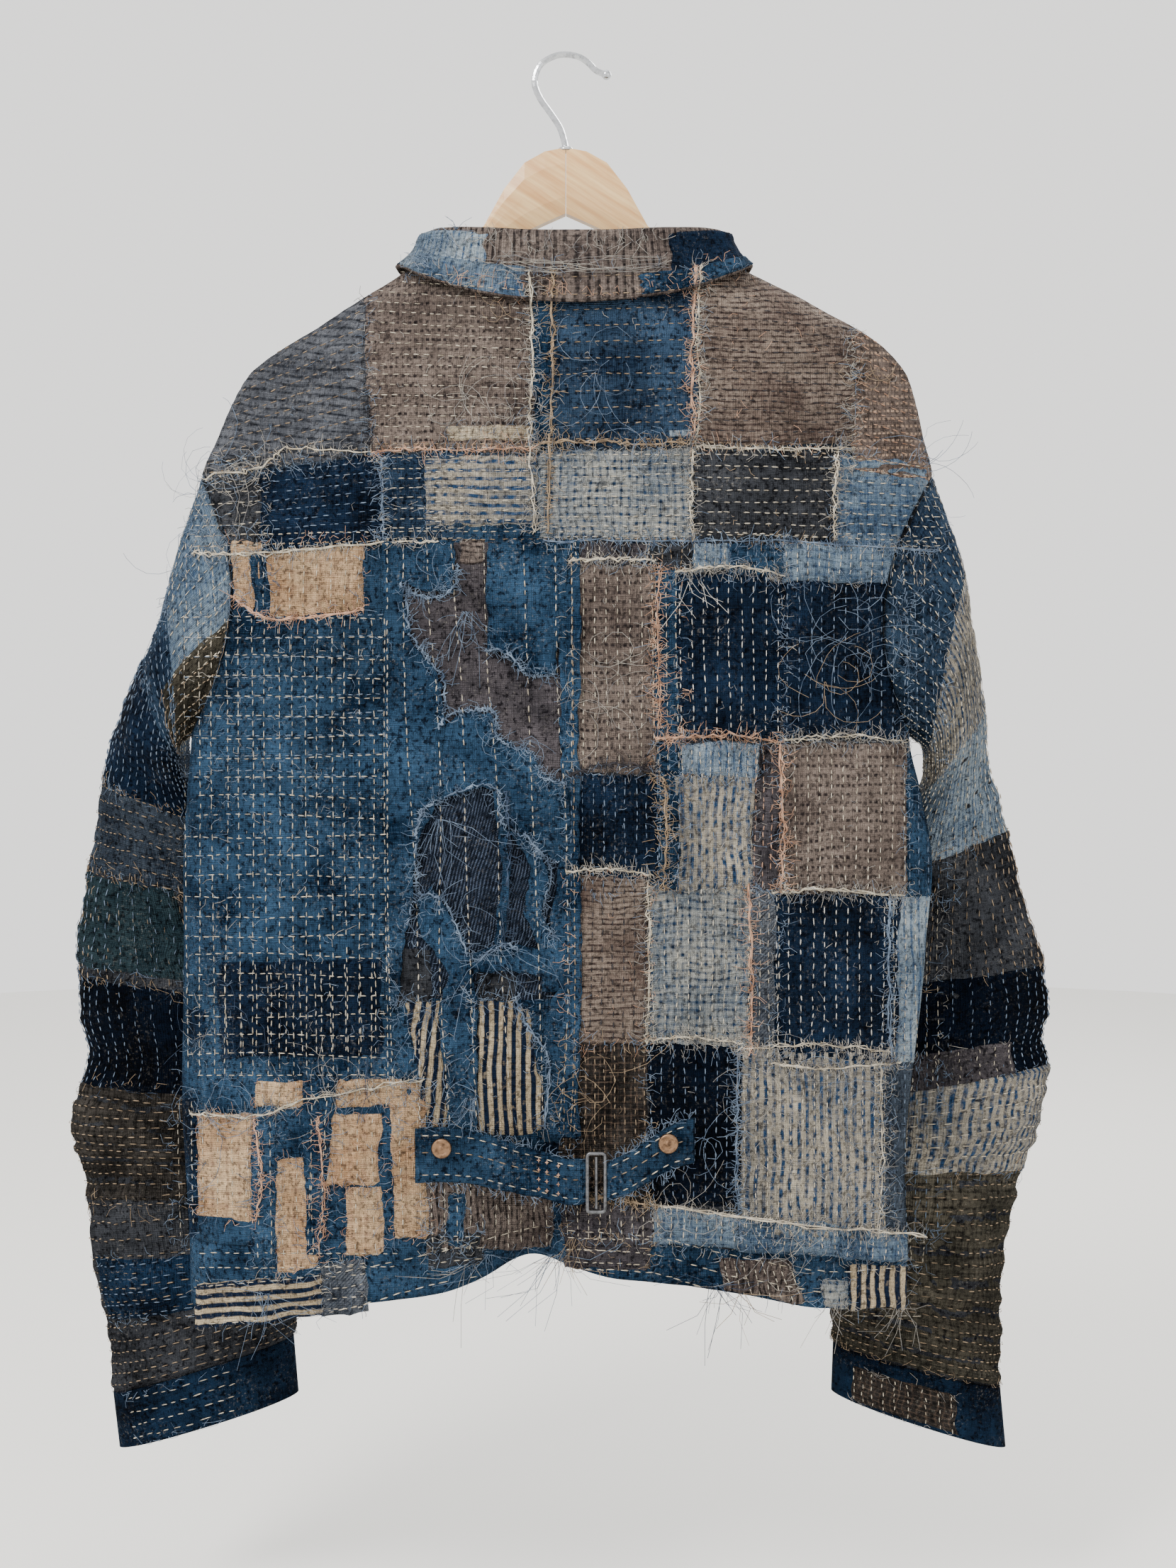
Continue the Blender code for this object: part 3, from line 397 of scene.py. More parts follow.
def shaded(text, strength, richness=1.0):
    """A colour dyed to a share of its strength, and moved from its grey by its richness."""
    parts = tint(text)[:3]
    grey = sum(parts) / 3
    return tuple(max(0.0, (grey + (c - grey) * richness) * strength) for c in parts) + (1.0,)


PLAIN_DYE = (0.62, 0.80, 1.0)
DYED = {
    # cloth: strength of its ground, strength of its faded threads, richness
    "indigo_faded": (0.357, 0.57, 1.15),
    "indigo_dark": (0.28, 0.495, 1.15),
    "navy": (0.165, 0.357, 1.1),
    # The cloth's own dark navy, taken much darker still as painted shade of the lower sleeves, also where it lies on
    # the back
    "deep_navy": (0.15, 0.216, 1.2),
    "slate": (0.5, 0.7, 1.0),
    "slate_grey": (0.6, 0.75, 1.0),
    "slate_blue": (0.36, 0.62, 1.15),
    "charcoal": (0.336, 0.51, 1.0),
    "charcoal_twill": (0.36, 0.44, 1.1),
    "taupe_grey": (0.45, 0.65, 1.0),
    "dark_brown": (0.45, 0.6, 1.0),
    "faded_blue": (0.62, 0.80, 1.06),
    "light_blue": (0.62, 0.80, 1.06),
    "teal_slate": (0.4, 0.5, 1.0),
    "small_check": (0.682, 0.88, 1.0),
    "olive_check": (0.45, 0.65, 1.0),
    "grey_brown_check": (0.245, 0.44, 1.0),
    "grey_denim": (0.5, 0.7, 1.0),
}


def cloth(
    name, ground, faded, lines=None, pattern="plain", pitch=0.006, share=0.3, wear=0.5, straight=False
):
    """A woven cotton: its ground colour, what it fades to, and the lines woven in it."""
    dark, light, rich = DYED.get(name, PLAIN_DYE)
    ground, faded = shaded(ground, dark, rich), shaded(faded, light, rich)
    dye = Dye(name, roughness=0.92, Specular_IOR_Level=0.04)
    place = dye.node("ShaderNodeTexCoord", out=3)
    weave = dye.node("ShaderNodeUVMap", {"uv_map": "weave"})
    split = dye.tree.nodes.new("ShaderNodeSeparateXYZ")
    dye.tree.links.new(weave.socket, split.inputs[0])
    u, v = Value(dye, split.outputs[0]), Value(dye, split.outputs[1])
    wander = dye.noise(place, 60.0, 1.0) * (0.0005 if straight else 0.0016)
    slub_u = dye.noise(dye.stretched(weave, (90, 1100, 1)), 1.0, 1.0)
    slub_v = dye.noise(dye.stretched(weave, (1100, 90, 1)), 1.0, 1.0)
    colour = dye.mix(dye.noise(place, 26.0, 5.0, 0.65).between(0.38, 0.66), ground, faded)
    colour = dye.mix((slub_u + slub_v).between(0.95, 1.25) * 0.45, colour, faded)
    if pattern != "plain":
        across, down = u + wander, v + wander
        if pattern == "stripes":
            drawn = bars(across, pitch, share)
        elif pattern == "rows":
            drawn = bars(down, pitch, share)
        elif pattern == "check":
            drawn = bars(across, pitch, share) * 0.6 + bars(down, pitch, share) * 0.6
        elif pattern == "dashes":
            drawn = bars(down, pitch, share) * bars(across, pitch * 0.62, 0.6)
        else:
            drawn = bars(across + down, pitch, share)
        broken = dye.noise(place, 240.0, 2.0).between(*((0.1, 0.4) if straight else (0.3, 0.6)))
        colour = dye.mix((drawn * broken).between(0.0, 1.0), colour, tint(lines))
    scuff = dye.noise(place, 520.0, 3.0, 0.65).between(0.56, 0.78) * dye.noise(
        place, 34.0, 2.0
    ).between(0.42, 0.66)
    colour = dye.mix(scuff * wear * 0.8, colour, tint("b3aca0"))
    dirt = dye.noise(place, 9.0, 3.0, 0.6).between(0.5, 0.72)
    colour = dye.mix(dirt * 0.35, colour, tint("2e2a28"), "MULTIPLY")
    # Painted shade: small random dark specks, deeper on plain cloth, stand for the shade in the pits of the worn
    # weave
    pit_shade = dye.noise(place, 330.0, 3.0, 0.7).between(0.36, 0.5)
    shade = dye.mix(pit_shade, tint("6c6c74" if lines is None else "9c9ca0"), tint("ffffff"))
    colour = dye.mix(1.0, colour, shade, "MULTIPLY")
    dye.give("Base Color", colour)
    turns = 2 * math.pi / THREAD_PITCH
    warp = (u * turns).cosine() + (v * turns).cosine()
    height = warp * 0.16 + slub_u + slub_v + dye.noise(place, 260.0, 3.0, 0.6) * 1.4
    dye.bump(height, 0.0016)
    return dye.material


def spun(name, colour, shade, strengths=(0.80, 0.62)):
    """Cotton sewing thread."""
    dye = Dye(name, roughness=0.85, Specular_IOR_Level=0.2)
    place = dye.node("ShaderNodeTexCoord", out=3)
    speck = dye.noise(place, 130.0, 3.0, 0.7).between(0.35, 0.68)
    light, dark = strengths
    dye.give("Base Color", dye.mix(speck, shaded(shade, dark), shaded(colour, light)))
    dye.bump(dye.noise(place, 1400.0, 1.0), 0.0002, 0.6)
    return dye.material


CLOTHS = {
    "indigo": cloth("indigo_faded", "1d3550", "4d6a88", wear=0.7),
    "indigo_dark": cloth("indigo_dark", "101d31", "2c435f", wear=0.5),
    "navy": cloth("navy", "16253c", "304767", wear=0.5),
    "deep_navy": cloth("deep_navy", "0c1424", "1f2f48", wear=0.3),
    "slate": cloth("slate", "2b3645", "55606e", wear=0.6),
    "slate_grey": cloth("slate_grey", "43464e", "70737a", "23262d", "rows", 0.0052, 0.3, 0.6),
    "slate_blue": cloth("slate_blue", "273850", "4b6079", wear=0.6),
    "charcoal": cloth("charcoal", "2f3239", "5b5e65", wear=0.6),
    "twill": cloth("charcoal_twill", "171e2b", "2f3848", "465062", "twill", 0.0026, 0.4, 0.3),
    "taupe": cloth("taupe_stripe", "5e524d", "8d7f76", "2b2526", "dashes", 0.0056, 0.34, 0.5),
    "taupe_fine": cloth("taupe_fine", "5c514e", "897c74", "2b2626", "stripes", 0.0034, 0.4, 0.5),
    "taupe_grey": cloth("taupe_grey", "403e44", "6a6468", wear=0.5),
    "mauve": cloth("mauve", "6c5b53", "998a7e", "3b302e", "rows", 0.0034, 0.35, 0.5),
    "brown": cloth("brown_weave", "51453f", "82736b", "b0957f", "dashes", 0.0044, 0.3, 0.5),
    "dark_brown": cloth("dark_brown", "252324", "4a4542", "6d5c4f", "check", 0.004, 0.2, 0.5),
    "faded_blue": cloth("faded_blue", "50667f", "8d9fae", "2b4160", "check", 0.005, 0.25, 0.6),
    "light_blue": cloth("light_blue", "70859b", "a9b6be", "38506f", "stripes", 0.0042, 0.3, 0.5),
    "teal": cloth("teal_slate", "1f343f", "465c64", wear=0.5),
    "small_check": cloth("small_check", "7b8690", "aeada4", "21354f", "check", 0.0046, 0.34, 0.5),
    "blue_stripe": cloth("blue_cream_stripe", "8f8d88", "c3b9a6", "27405f", "stripes", 0.005, 0.45, 0.5),
    "ticking": cloth("ticking", "b9a688", "d3c1a2", "131f33", "stripes", 0.006, 0.5, 0.2, straight=True),
    "ticking_across": cloth(
        "ticking_across", "b9a688", "d3c1a2", "131f33", "rows", 0.006, 0.5, 0.3, straight=True
    ),
    "peach": cloth("peach_plaid", "c79c76", "dfc09a", "7f6453", "check", 0.0085, 0.2, 0.2),
    "cream": cloth("cream_basket", "b3a288", "d3c5ab", "7c6c5c", "check", 0.004, 0.3, 0.2),
    "olive": cloth("olive_check", "46443c", "6f695c", "23221e", "check", 0.0048, 0.3, 0.4),
    "smock": cloth("grey_brown_check", "403c39", "6d6761", "1b1a19", "check", 0.005, 0.32, 0.4),
    "grey_denim": cloth("grey_denim", "4b525d", "81868e", "2c333f", "twill", 0.0024, 0.35, 0.5),
}
THREADS = {
    "cream": spun("thread_cream", "e2d8c4", "b5a892"),
    "white": spun("thread_white", "eeeae1", "c3bfb6"),
    "peach": spun("thread_peach", "d9b094", "a97f66"),
    "tan": spun("thread_tan", "b39c80", "7c6a57"),
    "blue": spun("thread_blue", "8698ae", "4d5d74"),
    "indigo": spun("thread_indigo", "4a5a72", "232f42"),
    "dark": spun("thread_dark", "4a474b", "232228"),
    "frayed": spun("thread_frayed", "a39d92", "5f5f63", (1.0, 1.0)),
}


# Making cloth


def thing(name, data, *materials):
    made = bpy.data.objects.new(name, data)
    bpy.context.scene.collection.objects.link(made)
    for material in materials:
        data.materials.append(material)
    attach(made, "root")
    return made


def sheet_mesh(name, across, down, at, material, outward=None):
    """A woven piece: a grid whose points are put in place by at(s, t), both from 0 to 1."""
    mesh = bmesh.new()
    bmesh.ops.create_grid(mesh, x_segments=across, y_segments=down, size=1.0)
    data = bpy.data.meshes.new(name)
    mesh.to_mesh(data)
    mesh.free()
    flat = np.empty(len(data.vertices) * 3)
    data.vertices.foreach_get("co", flat)
    flat = flat.reshape(-1, 3)
    place, weave = at((flat[:, 0] + 1) / 2, (1 - flat[:, 1]) / 2)
    data.vertices.foreach_set("co", place.ravel())
    loops = np.empty(len(data.loops), int)
    data.loops.foreach_get("vertex_index", loops)
    layer = data.uv_layers.new(name="weave")
    layer.data.foreach_set("uv", weave[loops].ravel())
    if outward is not None:
        data.update()
        middle = len(data.polygons) // 2 + across // 2
        face = data.polygons[middle]
        if face.normal.dot(outward) < 0:
            data.flip_normals()
    data.polygons.foreach_set("use_smooth", np.ones(len(data.polygons), bool))
    data.materials.append(material)
    data.update()
    return data


def doubled(piece, thickness):
    """Gives a sheet its thickness, inwards from its face."""
    wall = piece.modifiers.new("thickness", "SOLIDIFY")
    wall.thickness = thickness
    wall.offset = -1.0
    return piece


def joined(name, datas):
    """Several sheets sewn down as one piece, each in its own cloth."""
    things = []
    for data in datas:
        made = bpy.data.objects.new(name, data)
        bpy.context.scene.collection.objects.link(made)
        things.append(made)
    with bpy.context.temp_override(
        active_object=things[0], selected_editable_objects=things, selected_objects=things
    ):
        bpy.ops.object.join()
    things[0].name = name
    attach(things[0], "root")
    return things[0]


BACKWARD = Vector((0, -1, 0))
FORWARD = Vector((0, 1, 0))


def bodice_panel(name, left, right, top, low, back, material, step):
    """A part of the bodice between two turns, from its top line to its low line."""

    def at(s, t):
        turn = left + (right - left) * s
        turn = np.where(left == 0, np.maximum(turn, 0.0008), turn)
        turn = np.where(right == 0, np.minimum(turn, -0.0008), turn)
        u = spread(turn)
        z = top(turn) + (low(turn) - top(turn)) * t
        ends = bodice_edges(z)
        x = (ends[0] + ends[1]) / 2 + u * (ends[1] - ends[0]) / 2
        y = bodice_y(x, z, back)
        return np.stack([x, y, z], 1), np.stack([turn * 0.27, z], 1)

    high = abs(float(low(np.array([0.0]))[0] - top(np.array([0.0]))[0]))
    across = round(abs(right - left) * 0.27 / step)
    data = sheet_mesh(name, across, round(high / step), at, material, BACKWARD if back else FORWARD)
    return doubled(thing(name, data), CLOTH)


def bodice():
    def neck(dip):
        return lambda turn: NECK - dip * (1 - spread(turn) ** 2)

    def level(z):
        return lambda turn: np.full_like(turn, z)

    def low_line(turn):
        x = -0.012 + spread(turn) * 0.2295
        return band_top(x) + SEAM_GAP

    def hem_line(turn):
        return hem(-0.012 + spread(turn) * 0.2295)

    neck_back, neck_front = neck(NECK_DIP_BACK), neck(NECK_DIP_FRONT)
    seam = level(YOKE_SEAM - SEAM_GAP)
    pieces = {
        node: bodice_panel(f"{node}_cloth", left, right, top, low, node[0] != "f", CLOTHS[kind], step)
        for node, left, right, top, low, kind, step in (
            ("yoke", -1, 1, neck_back, level(YOKE_SEAM), "slate", 0.0042),
            ("back_left", -1, 0, seam, low_line, "indigo", 0.004),
            ("back_right", 0, 1, seam, low_line, "navy", 0.0042),
            ("front_left", -1, 0, neck_front, low_line, "indigo", 0.006),
            ("front_right", 0, 1, neck_front, low_line, "indigo", 0.006),
        )
    }
    for node, left, right, back in (
        ("band_back", -1, 1, True),
        ("band_front_left", -1, 0, False),
        ("band_front_right", 0, 1, False),
    ):
        made = bodice_panel(
            f"{node}_cloth", left, right, lambda t: low_line(t) - SEAM_GAP, hem_line, back,
            CLOTHS["indigo"], 0.0034,
        )
        made.modifiers["thickness"].thickness = BAND_CLOTH
        pieces[node] = made
    for node, piece in pieces.items():
        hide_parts(node)
    return pieces


def tube_point(table, side, station, angle, lift, folds=True):
    """A point of a sleeve or cuff: station counts the table's rows, angle 0 is its outer edge."""
    outer_x, outer_z, inner_x, inner_z, behind, half = (curve(table, c)(station) for c in range(1, 7))
    last = len(table) - 1
    mx, mz = (outer_x + inner_x) / 2, (outer_z + inner_z) / 2
    rx, rz = (outer_x - inner_x) / 2, (outer_z - inner_z) / 2
    length = np.hypot(rx, rz)
    cosine, sine = np.cos(angle), np.sin(angle)
    inset = -lift
    if folds:
        degrees = np.degrees(angle) % 360
        eased = np.clip(station - 1.0, 0, 1) * np.clip(last - station, 0, 1)
        for where, centre, along, around, depth in SLEEVE_FOLDS:
            turn = (degrees - centre + 180) % 360 - 180
            inset = inset + depth * np.exp(-(((station - where) / along) ** 2) - (turn / around) ** 2) * eased
        calm = np.clip(station - 0.2, 0, 1) * np.clip(last - station + 0.15, 0, 1)
        swell = 0.0018 * rumple(station * 1.5 + 7 * (side > 0), cosine * 2.2 + 40)
        swell += 0.0026 * np.minimum(0, rumple(station * 2.6 + cosine * 0.9, sine * 1.5 + 20 + 5 * side))
        swell += 0.0007 * rumple(station * 9.0, cosine * 9.0 + 60) + 0.0003 * rumple(station * 24, cosine * 24)
        inset = inset - (swell - 0.0008) * calm
    wide = np.copysign(np.abs(cosine) ** SLEEVE_FLATNESS, cosine) * (length - inset) / length
    x, y, z = mx + rx * wide, behind - sine * (half - inset), mz + rz * wide
    if side:
        share = np.where(station < 2, (1 - np.minimum(station, 2) / 2) ** 2 * (1 + station), 0.0)
        o = [curve(table, c)(station * 0) for c in range(1, 7)]
        reach = np.hypot(o[0] - o[2], o[1] - o[3]) / 2
        w = np.copysign(np.abs(cosine) ** SLEEVE_FLATNESS, cosine) * (reach + lift) / reach
        sx, sz = (o[0] + o[2]) / 2 + (o[0] - o[2]) / 2 * w, (o[1] + o[3]) / 2 + (o[1] - o[3]) / 2 * w
        sy = o[4] - sine * (o[5] + lift)
        middle, tall = (ARMHOLE_TOP + ARMHOLE_BOTTOM) / 2, (ARMHOLE_TOP - ARMHOLE_BOTTOM) / 2
        az = middle + tall * cosine
        sine_z = armhole_sine(az)
        end = np.where(sine > 0, ARMHOLE_BACK, ARMHOLE_FRONT) * sine_z
        longer = 1 + lift / np.maximum(np.hypot(tall * cosine, end), 0.008)
        across = (side_left(az) if side < 0 else side_right(az)) - side * ARMHOLE_BOW * sine_z**2
        x = x + (across + side * SEAM_GAP - sx) * share
        y = y + (-np.copysign(end, sine) * longer - sy) * share
        z = z + (middle + tall * cosine * longer - sz) * share
    return np.stack([x, y, z], 1)


def round_about(data):
    """Closes a grid that was wrapped into a tube, and turns its faces outwards."""
    mesh = bmesh.new()
    mesh.from_mesh(data)
    bmesh.ops.remove_doubles(mesh, verts=list(mesh.verts), dist=1e-5)
    middle = sum((v.co for v in mesh.verts), Vector()) / len(mesh.verts)
    mesh.normal_update()
    if sum(f.normal.dot(f.calc_center_median() - middle) for f in mesh.faces) < 0:
        bmesh.ops.reverse_faces(mesh, faces=list(mesh.faces))
    mesh.to_mesh(data)
    mesh.free()
    return data


def tube(name, table, side, around, along, material, thickness, node):
    table = numbered(table)
    last = len(table) - 1

    def at(s, t):
        angle = (s * 2 - 1) * math.pi
        point = tube_point(table, side, t * last, angle, 0.0, folds=last > 2)
        return point, np.stack([s * 0.36, t * (0.05 if last < 2 else 0.6)], 1)

    data = round_about(sheet_mesh(name, around, along, at, material))
    piece = doubled(thing(name, data), thickness)
    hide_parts(node)
    return piece


def collar_point(s, t, face=1.0):
    """A point of the collar's outer face, from the neck seam over the fold to its edge."""
    angle = np.radians((s * 2 - 1) * COLLAR_END)
    degrees = np.abs(np.degrees(angle))
    stand, lean, fall, flare = (curve(COLLAR, c)(degrees) for c in range(1, 5))
    radius = COLLAR_FOLD_RADIUS
    bend = math.pi * radius
    run = t * (stand + bend + fall)
    offset = face * COLLAR_CLOTH / 2
    rise = np.clip(run / stand, 0, 1)
    turn = np.clip((run - stand) / radius, 0, math.pi)
    drop = np.clip((run - stand - bend) / fall, 0, 1)
    out = np.where(run <= stand, lean * rise - offset, 0.0)
    up = np.where(run <= stand, stand * rise, 0.0)
    on = (run > stand) & (run <= stand + bend)
    out = np.where(on, lean + radius - (radius + offset) * np.cos(turn), out)
    up = np.where(on, stand + (radius + offset) * np.sin(turn), up)
    over = run > stand + bend
    out = np.where(over, lean + 2 * radius + offset + flare * drop**1.3, out)
    up = np.where(over, stand - np.sqrt(fall**2 - flare**2) * drop, up)
    half_wide = (side_right(NECK) - side_left(NECK)) / 2 - 0.0013
    middle = (side_right(NECK) + side_left(NECK)) / 2
    rear = np.cos(angle) >= 0
    deep = np.where(rear, depth_back(NECK), depth_front(NECK)) - 0.0013
    x = np.copysign(np.abs(np.sin(angle)) ** (2 / 2.4), np.sin(angle))
    y = np.copysign(np.abs(np.cos(angle)) ** (2 / 2.4), np.cos(angle))
    nx, ny = x / half_wide, -y / deep
    size = np.hypot(nx, ny)
    z = NECK + 0.001 - np.where(rear, NECK_DIP_BACK, NECK_DIP_FRONT) * (1 - x**2)
    out = out + 0.0012 * np.sin(7 * angle + 0.6) * t
    out = out + (0.001 * rumple(s * 24, t * 6 + 9) + 0.0004 * rumple(s * 70, t * 14)) * t
    return (
        np.stack([middle + x * half_wide + nx / size * out, -y * deep + ny / size * out, z + up], 1),
        np.stack([s * 0.46, t * 0.08], 1),
    )


# Patches


def edge_share(s, t, a, b):
    """How far inside a patch a point is, from 0 at its edge to 1."""
    return np.minimum(1.0, np.minimum(np.minimum(s, 1 - s) * a, np.minimum(t, 1 - t) * b))


def along_line(line, share):
    """Places at these shares of a line's length."""
    line = np.array(line, float)
    run = np.concatenate([[0], np.cumsum(np.hypot(*np.diff(line, axis=0).T))])
    share = share * run[-1]
    return np.interp(share, run, line[:, 0]), np.interp(share, run, line[:, 1])


def lines_of(place):
    """The upper and lower edge of a place given as a box, four corners or a pair of lines."""
    if len(place) == 4 and not hasattr(place[0], "__len__"):
        x0, y0, x1, y1 = place
        return [(x0, y0), (x1, y0)], [(x0, y1), (x1, y1)]
    if len(place) == 4:
        return [place[0], place[1]], [place[3], place[2]]
    return place[0], place[1]


def length_of(line):
    return sum(math.hypot(b[0] - a[0], b[1] - a[1]) for a, b in zip(line, line[1:]))


def between(upper, lower, s, r):
    """The place at share s along two lines and share r from the upper to the lower."""
    ux, uy = along_line(upper, s)
    lx, ly = along_line(lower, s)
    return ux * (1 - r) + lx * r, uy * (1 - r) + ly * r


def patch_on_back(
    place, material, layer=1, grain=0.0, ragged=3.0, pitch=None, seed=0, front=False, curl=0.0, free=False
):
    """A patch between an upper and a lower line of the picture, or of the front in metres."""
    upper, lower = lines_of(place)
    unit = 1.0 if front else PX
    wide = max(length_of(upper), length_of(lower)) * unit
    tall = max(math.hypot(upper[k][0] - lower[k][0], upper[k][1] - lower[k][1]) for k in (0, -1)) * unit
    step = 0.006 if front else 0.0023 if free else 0.0028
    across, down = max(6, round(wide / step)), max(6, round(tall / step))

    def at(s, t):
        px, py = between(upper, lower, s, t)
        mx, my = px * unit, py * unit
        size = ragged * (PX if front else 1.0)
        near = 1 - edge_share(s, t, across / 5.0, down / 5.0)
        bx, by, ex, ey = mx / 0.019, my / 0.019, mx / 0.0042, my / 0.0042
        px = px + size * (rumple(bx + seed * 3.1, by + seed) + 0.8 * near * rumple(ex + seed, ey + 9))
        py = py + size * (rumple(bx + seed * 1.7 + 50, by + 31) + 0.8 * near * rumple(ex + 77, ey + seed))
        x, z = (keep_inside(px, py), py) if front else back_place(px, py)
        inside = edge_share(s, t, across, down)
        body = edge_share(s, t, across / 3.2, down / 3.2)
        if free:
            rim = 1 - edge_share(s, t, across / 4.0, down / 4.0)
            lift = 0.0006 * layer + curl * rim * (0.55 + 0.75 * rumple(mx / 0.01 + seed, my / 0.01))
            lift = lift + 0.0004 * rumple(mx / 0.005, my / 0.005 + seed)
        else:
            lift = PATCH_LIFT * layer * inside - 0.0002 * (inside < 0.01)
            lift = lift + 0.00045 * (1 - (2 * body - 1) ** 2) * inside
        if pitch:
            along = (mx if pitch[0] == "down" else my) / (pitch[1] * PX)
            other = (my if pitch[0] == "down" else mx) / 0.006
            lift = lift + (0.0007 * np.sin(along * math.pi) ** 2 + 0.00035 * rumple(along * 2, other)) * inside
        y = bodice_y(x, z, not front) + (1.0 if front else -1.0) * lift
        turn = math.radians(grain)
        weave = [mx * math.cos(turn) - my * math.sin(turn), mx * math.sin(turn) + my * math.cos(turn)]
        return np.stack([x, y, z], 1), np.stack(weave, 1)

    return sheet_mesh("patch", across, down, at, material, FORWARD if front else BACKWARD)


def patch_on_sleeve(table, side, first, last, start, end, material, layer=1, seed=0, lean=0.0, tuck=0.0):
    """A patch round a sleeve: stations first to last, and degrees start to end round it."""
    table = numbered(table)
    high = (last - first) * STATION
    around = max(8, round(abs(end - start) / 360 * 0.36 / 0.0032))
    along = max(6, round(high / 0.003))

    def at(s, t):
        degrees = start + (end - start) * s
        full = end - start >= 360
        place = s * 0 + 0.5 if full else s
        wide = edge_share(place, t, around, along)
        body = edge_share(place, t, around / 3.2, along / 3.2)
        wob = 0.03 * rumple(np.cos(np.radians(degrees)) * 5 + seed, t * 3 + seed)
        station = first + (last - first) * t + wob + lean * (s - 0.5) + 0.012 * rumple(
            np.cos(np.radians(degrees)) * 21, np.sin(np.radians(degrees)) * 21 + seed
        )
        angle = np.radians(degrees)
        if not full:
            angle = angle + 0.03 * rumple(station * 4, s * 0 + seed)
        lift = PATCH_LIFT * layer * wide + 0.0005 * (1 - (2 * body - 1) ** 2) * wide - 0.0002 * (wide < 0.01)
        if tuck:
            lift = lift + tuck * np.sin(station * 4.9 * math.pi + 2 * rumple(np.cos(angle) * 3, station)) * wide
        point = tube_point(table, side, np.clip(station, 0, len(table) - 1), angle, lift, folds=len(table) > 3)
        return point, np.stack([degrees / 360 * 0.36, -station * STATION], 1)

    data = sheet_mesh("patch", around, along, at, material)
    mesh = bmesh.new()
    mesh.from_mesh(data)
    if end - start >= 360:
        bmesh.ops.remove_doubles(mesh, verts=list(mesh.verts), dist=1e-5)
    mesh.normal_update()
    centre = tube_point(table, side, np.array([(first + last) / 2]), np.array([0.0]), 0.0)[0]
    far = tube_point(table, side, np.array([(first + last) / 2]), np.array([math.pi]), 0.0)[0]
    middle = Vector((centre + far) / 2)
    if sum(f.normal.dot(f.calc_center_median() - middle) for f in mesh.faces) < 0:
        bmesh.ops.reverse_faces(mesh, faces=list(mesh.faces))
    mesh.to_mesh(data)
    mesh.free()
    return data


# Laying thread on the cloth


class Ground:
    """The cloth that is there already, as the camera or the far side sees it."""

    def __init__(self, pieces):
        bpy.context.view_layer.update()
        self.trees = []
        for piece in pieces:
            mesh = bmesh.new()
            mesh.from_mesh(piece.data)
            self.trees.append(BVHTree.FromBMesh(mesh))
            mesh.free()

    def hit(self, start, way):
        best = None
        for tree in self.trees:
            found = tree.ray_cast(start, way)
            if found[0] is not None and (best is None or found[3] < best[2]):
                best = (found[0], found[1], found[3])
        return best

    def seen(self, px, py):
        """The point and facing of the cloth at this place of the picture, or None."""
        slant = math.tan(EYE_TILT + math.atan((py - 1000) / EYE_REACH))
        found = self.hit(EYE, Vector(((px - 750) / EYE_REACH, 1, -slant)).normalized())
        return found and (found[0], -found[1] if found[1].y > 0 else found[1])

    def from_front(self, x, z):
        found = self.hit(Vector((x, 1, z)), Vector((0, -1, 0)))
        return found and (found[0], -found[1] if found[1].y < 0 else found[1])


def grain_of_thread():
    """One stitch: a rounded grain of thread of length and width 2, lying along X."""
    mesh = bmesh.new()
    bmesh.ops.create_uvsphere(mesh, u_segments=3, v_segments=3, radius=1.0)
    bmesh.ops.triangulate(mesh, faces=list(mesh.faces))
    points = np.array([(v.co.z, v.co.x, v.co.y) for v in mesh.verts])
    mesh.verts.index_update()
    faces = np.array([[v.index for v in f.verts] for f in mesh.faces])
    mesh.free()
    return points, faces


GRAIN_POINTS, GRAIN_FACES = grain_of_thread()


def stitches(name, list_of_ends, thread, width=0.00048):
    """Joins one grain for each stitch, between the two ends given with their facing."""
    ends = [e for e in list_of_ends if e]
    if not ends:
        return None
    one = np.array([e[0] for e in ends])
    two = np.array([e[1] for e in ends])
    facing = np.array([e[2] for e in ends])
    along = (two - one) / 2
    side = np.cross(facing, along)
    side /= np.linalg.norm(side, axis=1)[:, None] + 1e-12
    size = np.array([e[3] for e in ends])[:, None]
    middle = (one + two) / 2 + facing * 0.00018
    points = (
        middle[:, None]
        + GRAIN_POINTS[None, :, :1] * along[:, None]
        + GRAIN_POINTS[None, :, 1:2] * (side * width * size)[:, None]
        + GRAIN_POINTS[None, :, 2:] * (facing * width * 0.8 * size)[:, None]
    ).reshape(-1, 3)
    count = len(ends)
    faces = (GRAIN_FACES[None] + (np.arange(count) * len(GRAIN_POINTS))[:, None, None]).reshape(-1, 3)
    data = bpy.data.meshes.new(name)
    data.vertices.add(len(points))
    data.vertices.foreach_set("co", points.ravel())
    data.loops.add(faces.size)
    data.loops.foreach_set("vertex_index", faces.ravel())
    data.polygons.add(len(faces))
    data.polygons.foreach_set("loop_start", np.arange(0, faces.size, 3))
    data.update(calc_edges=True)
    data.polygons.foreach_set("use_smooth", np.ones(len(faces), bool))
    return thing(name, data, THREADS[thread])


sewn = {name: [] for name in THREADS}
loose = {name: [] for name in THREADS}


def one_stitch(ground, a, b, size=1.0, front=False):
    see = ground.from_front if front else ground.seen
    first, second = see(*a), see(*b)
    if first and second and (first[0] - second[0]).length < 0.02:
        facing = (first[1] + second[1]).normalized()
        return tuple(first[0]), tuple(second[0]), tuple(facing), size
    return None


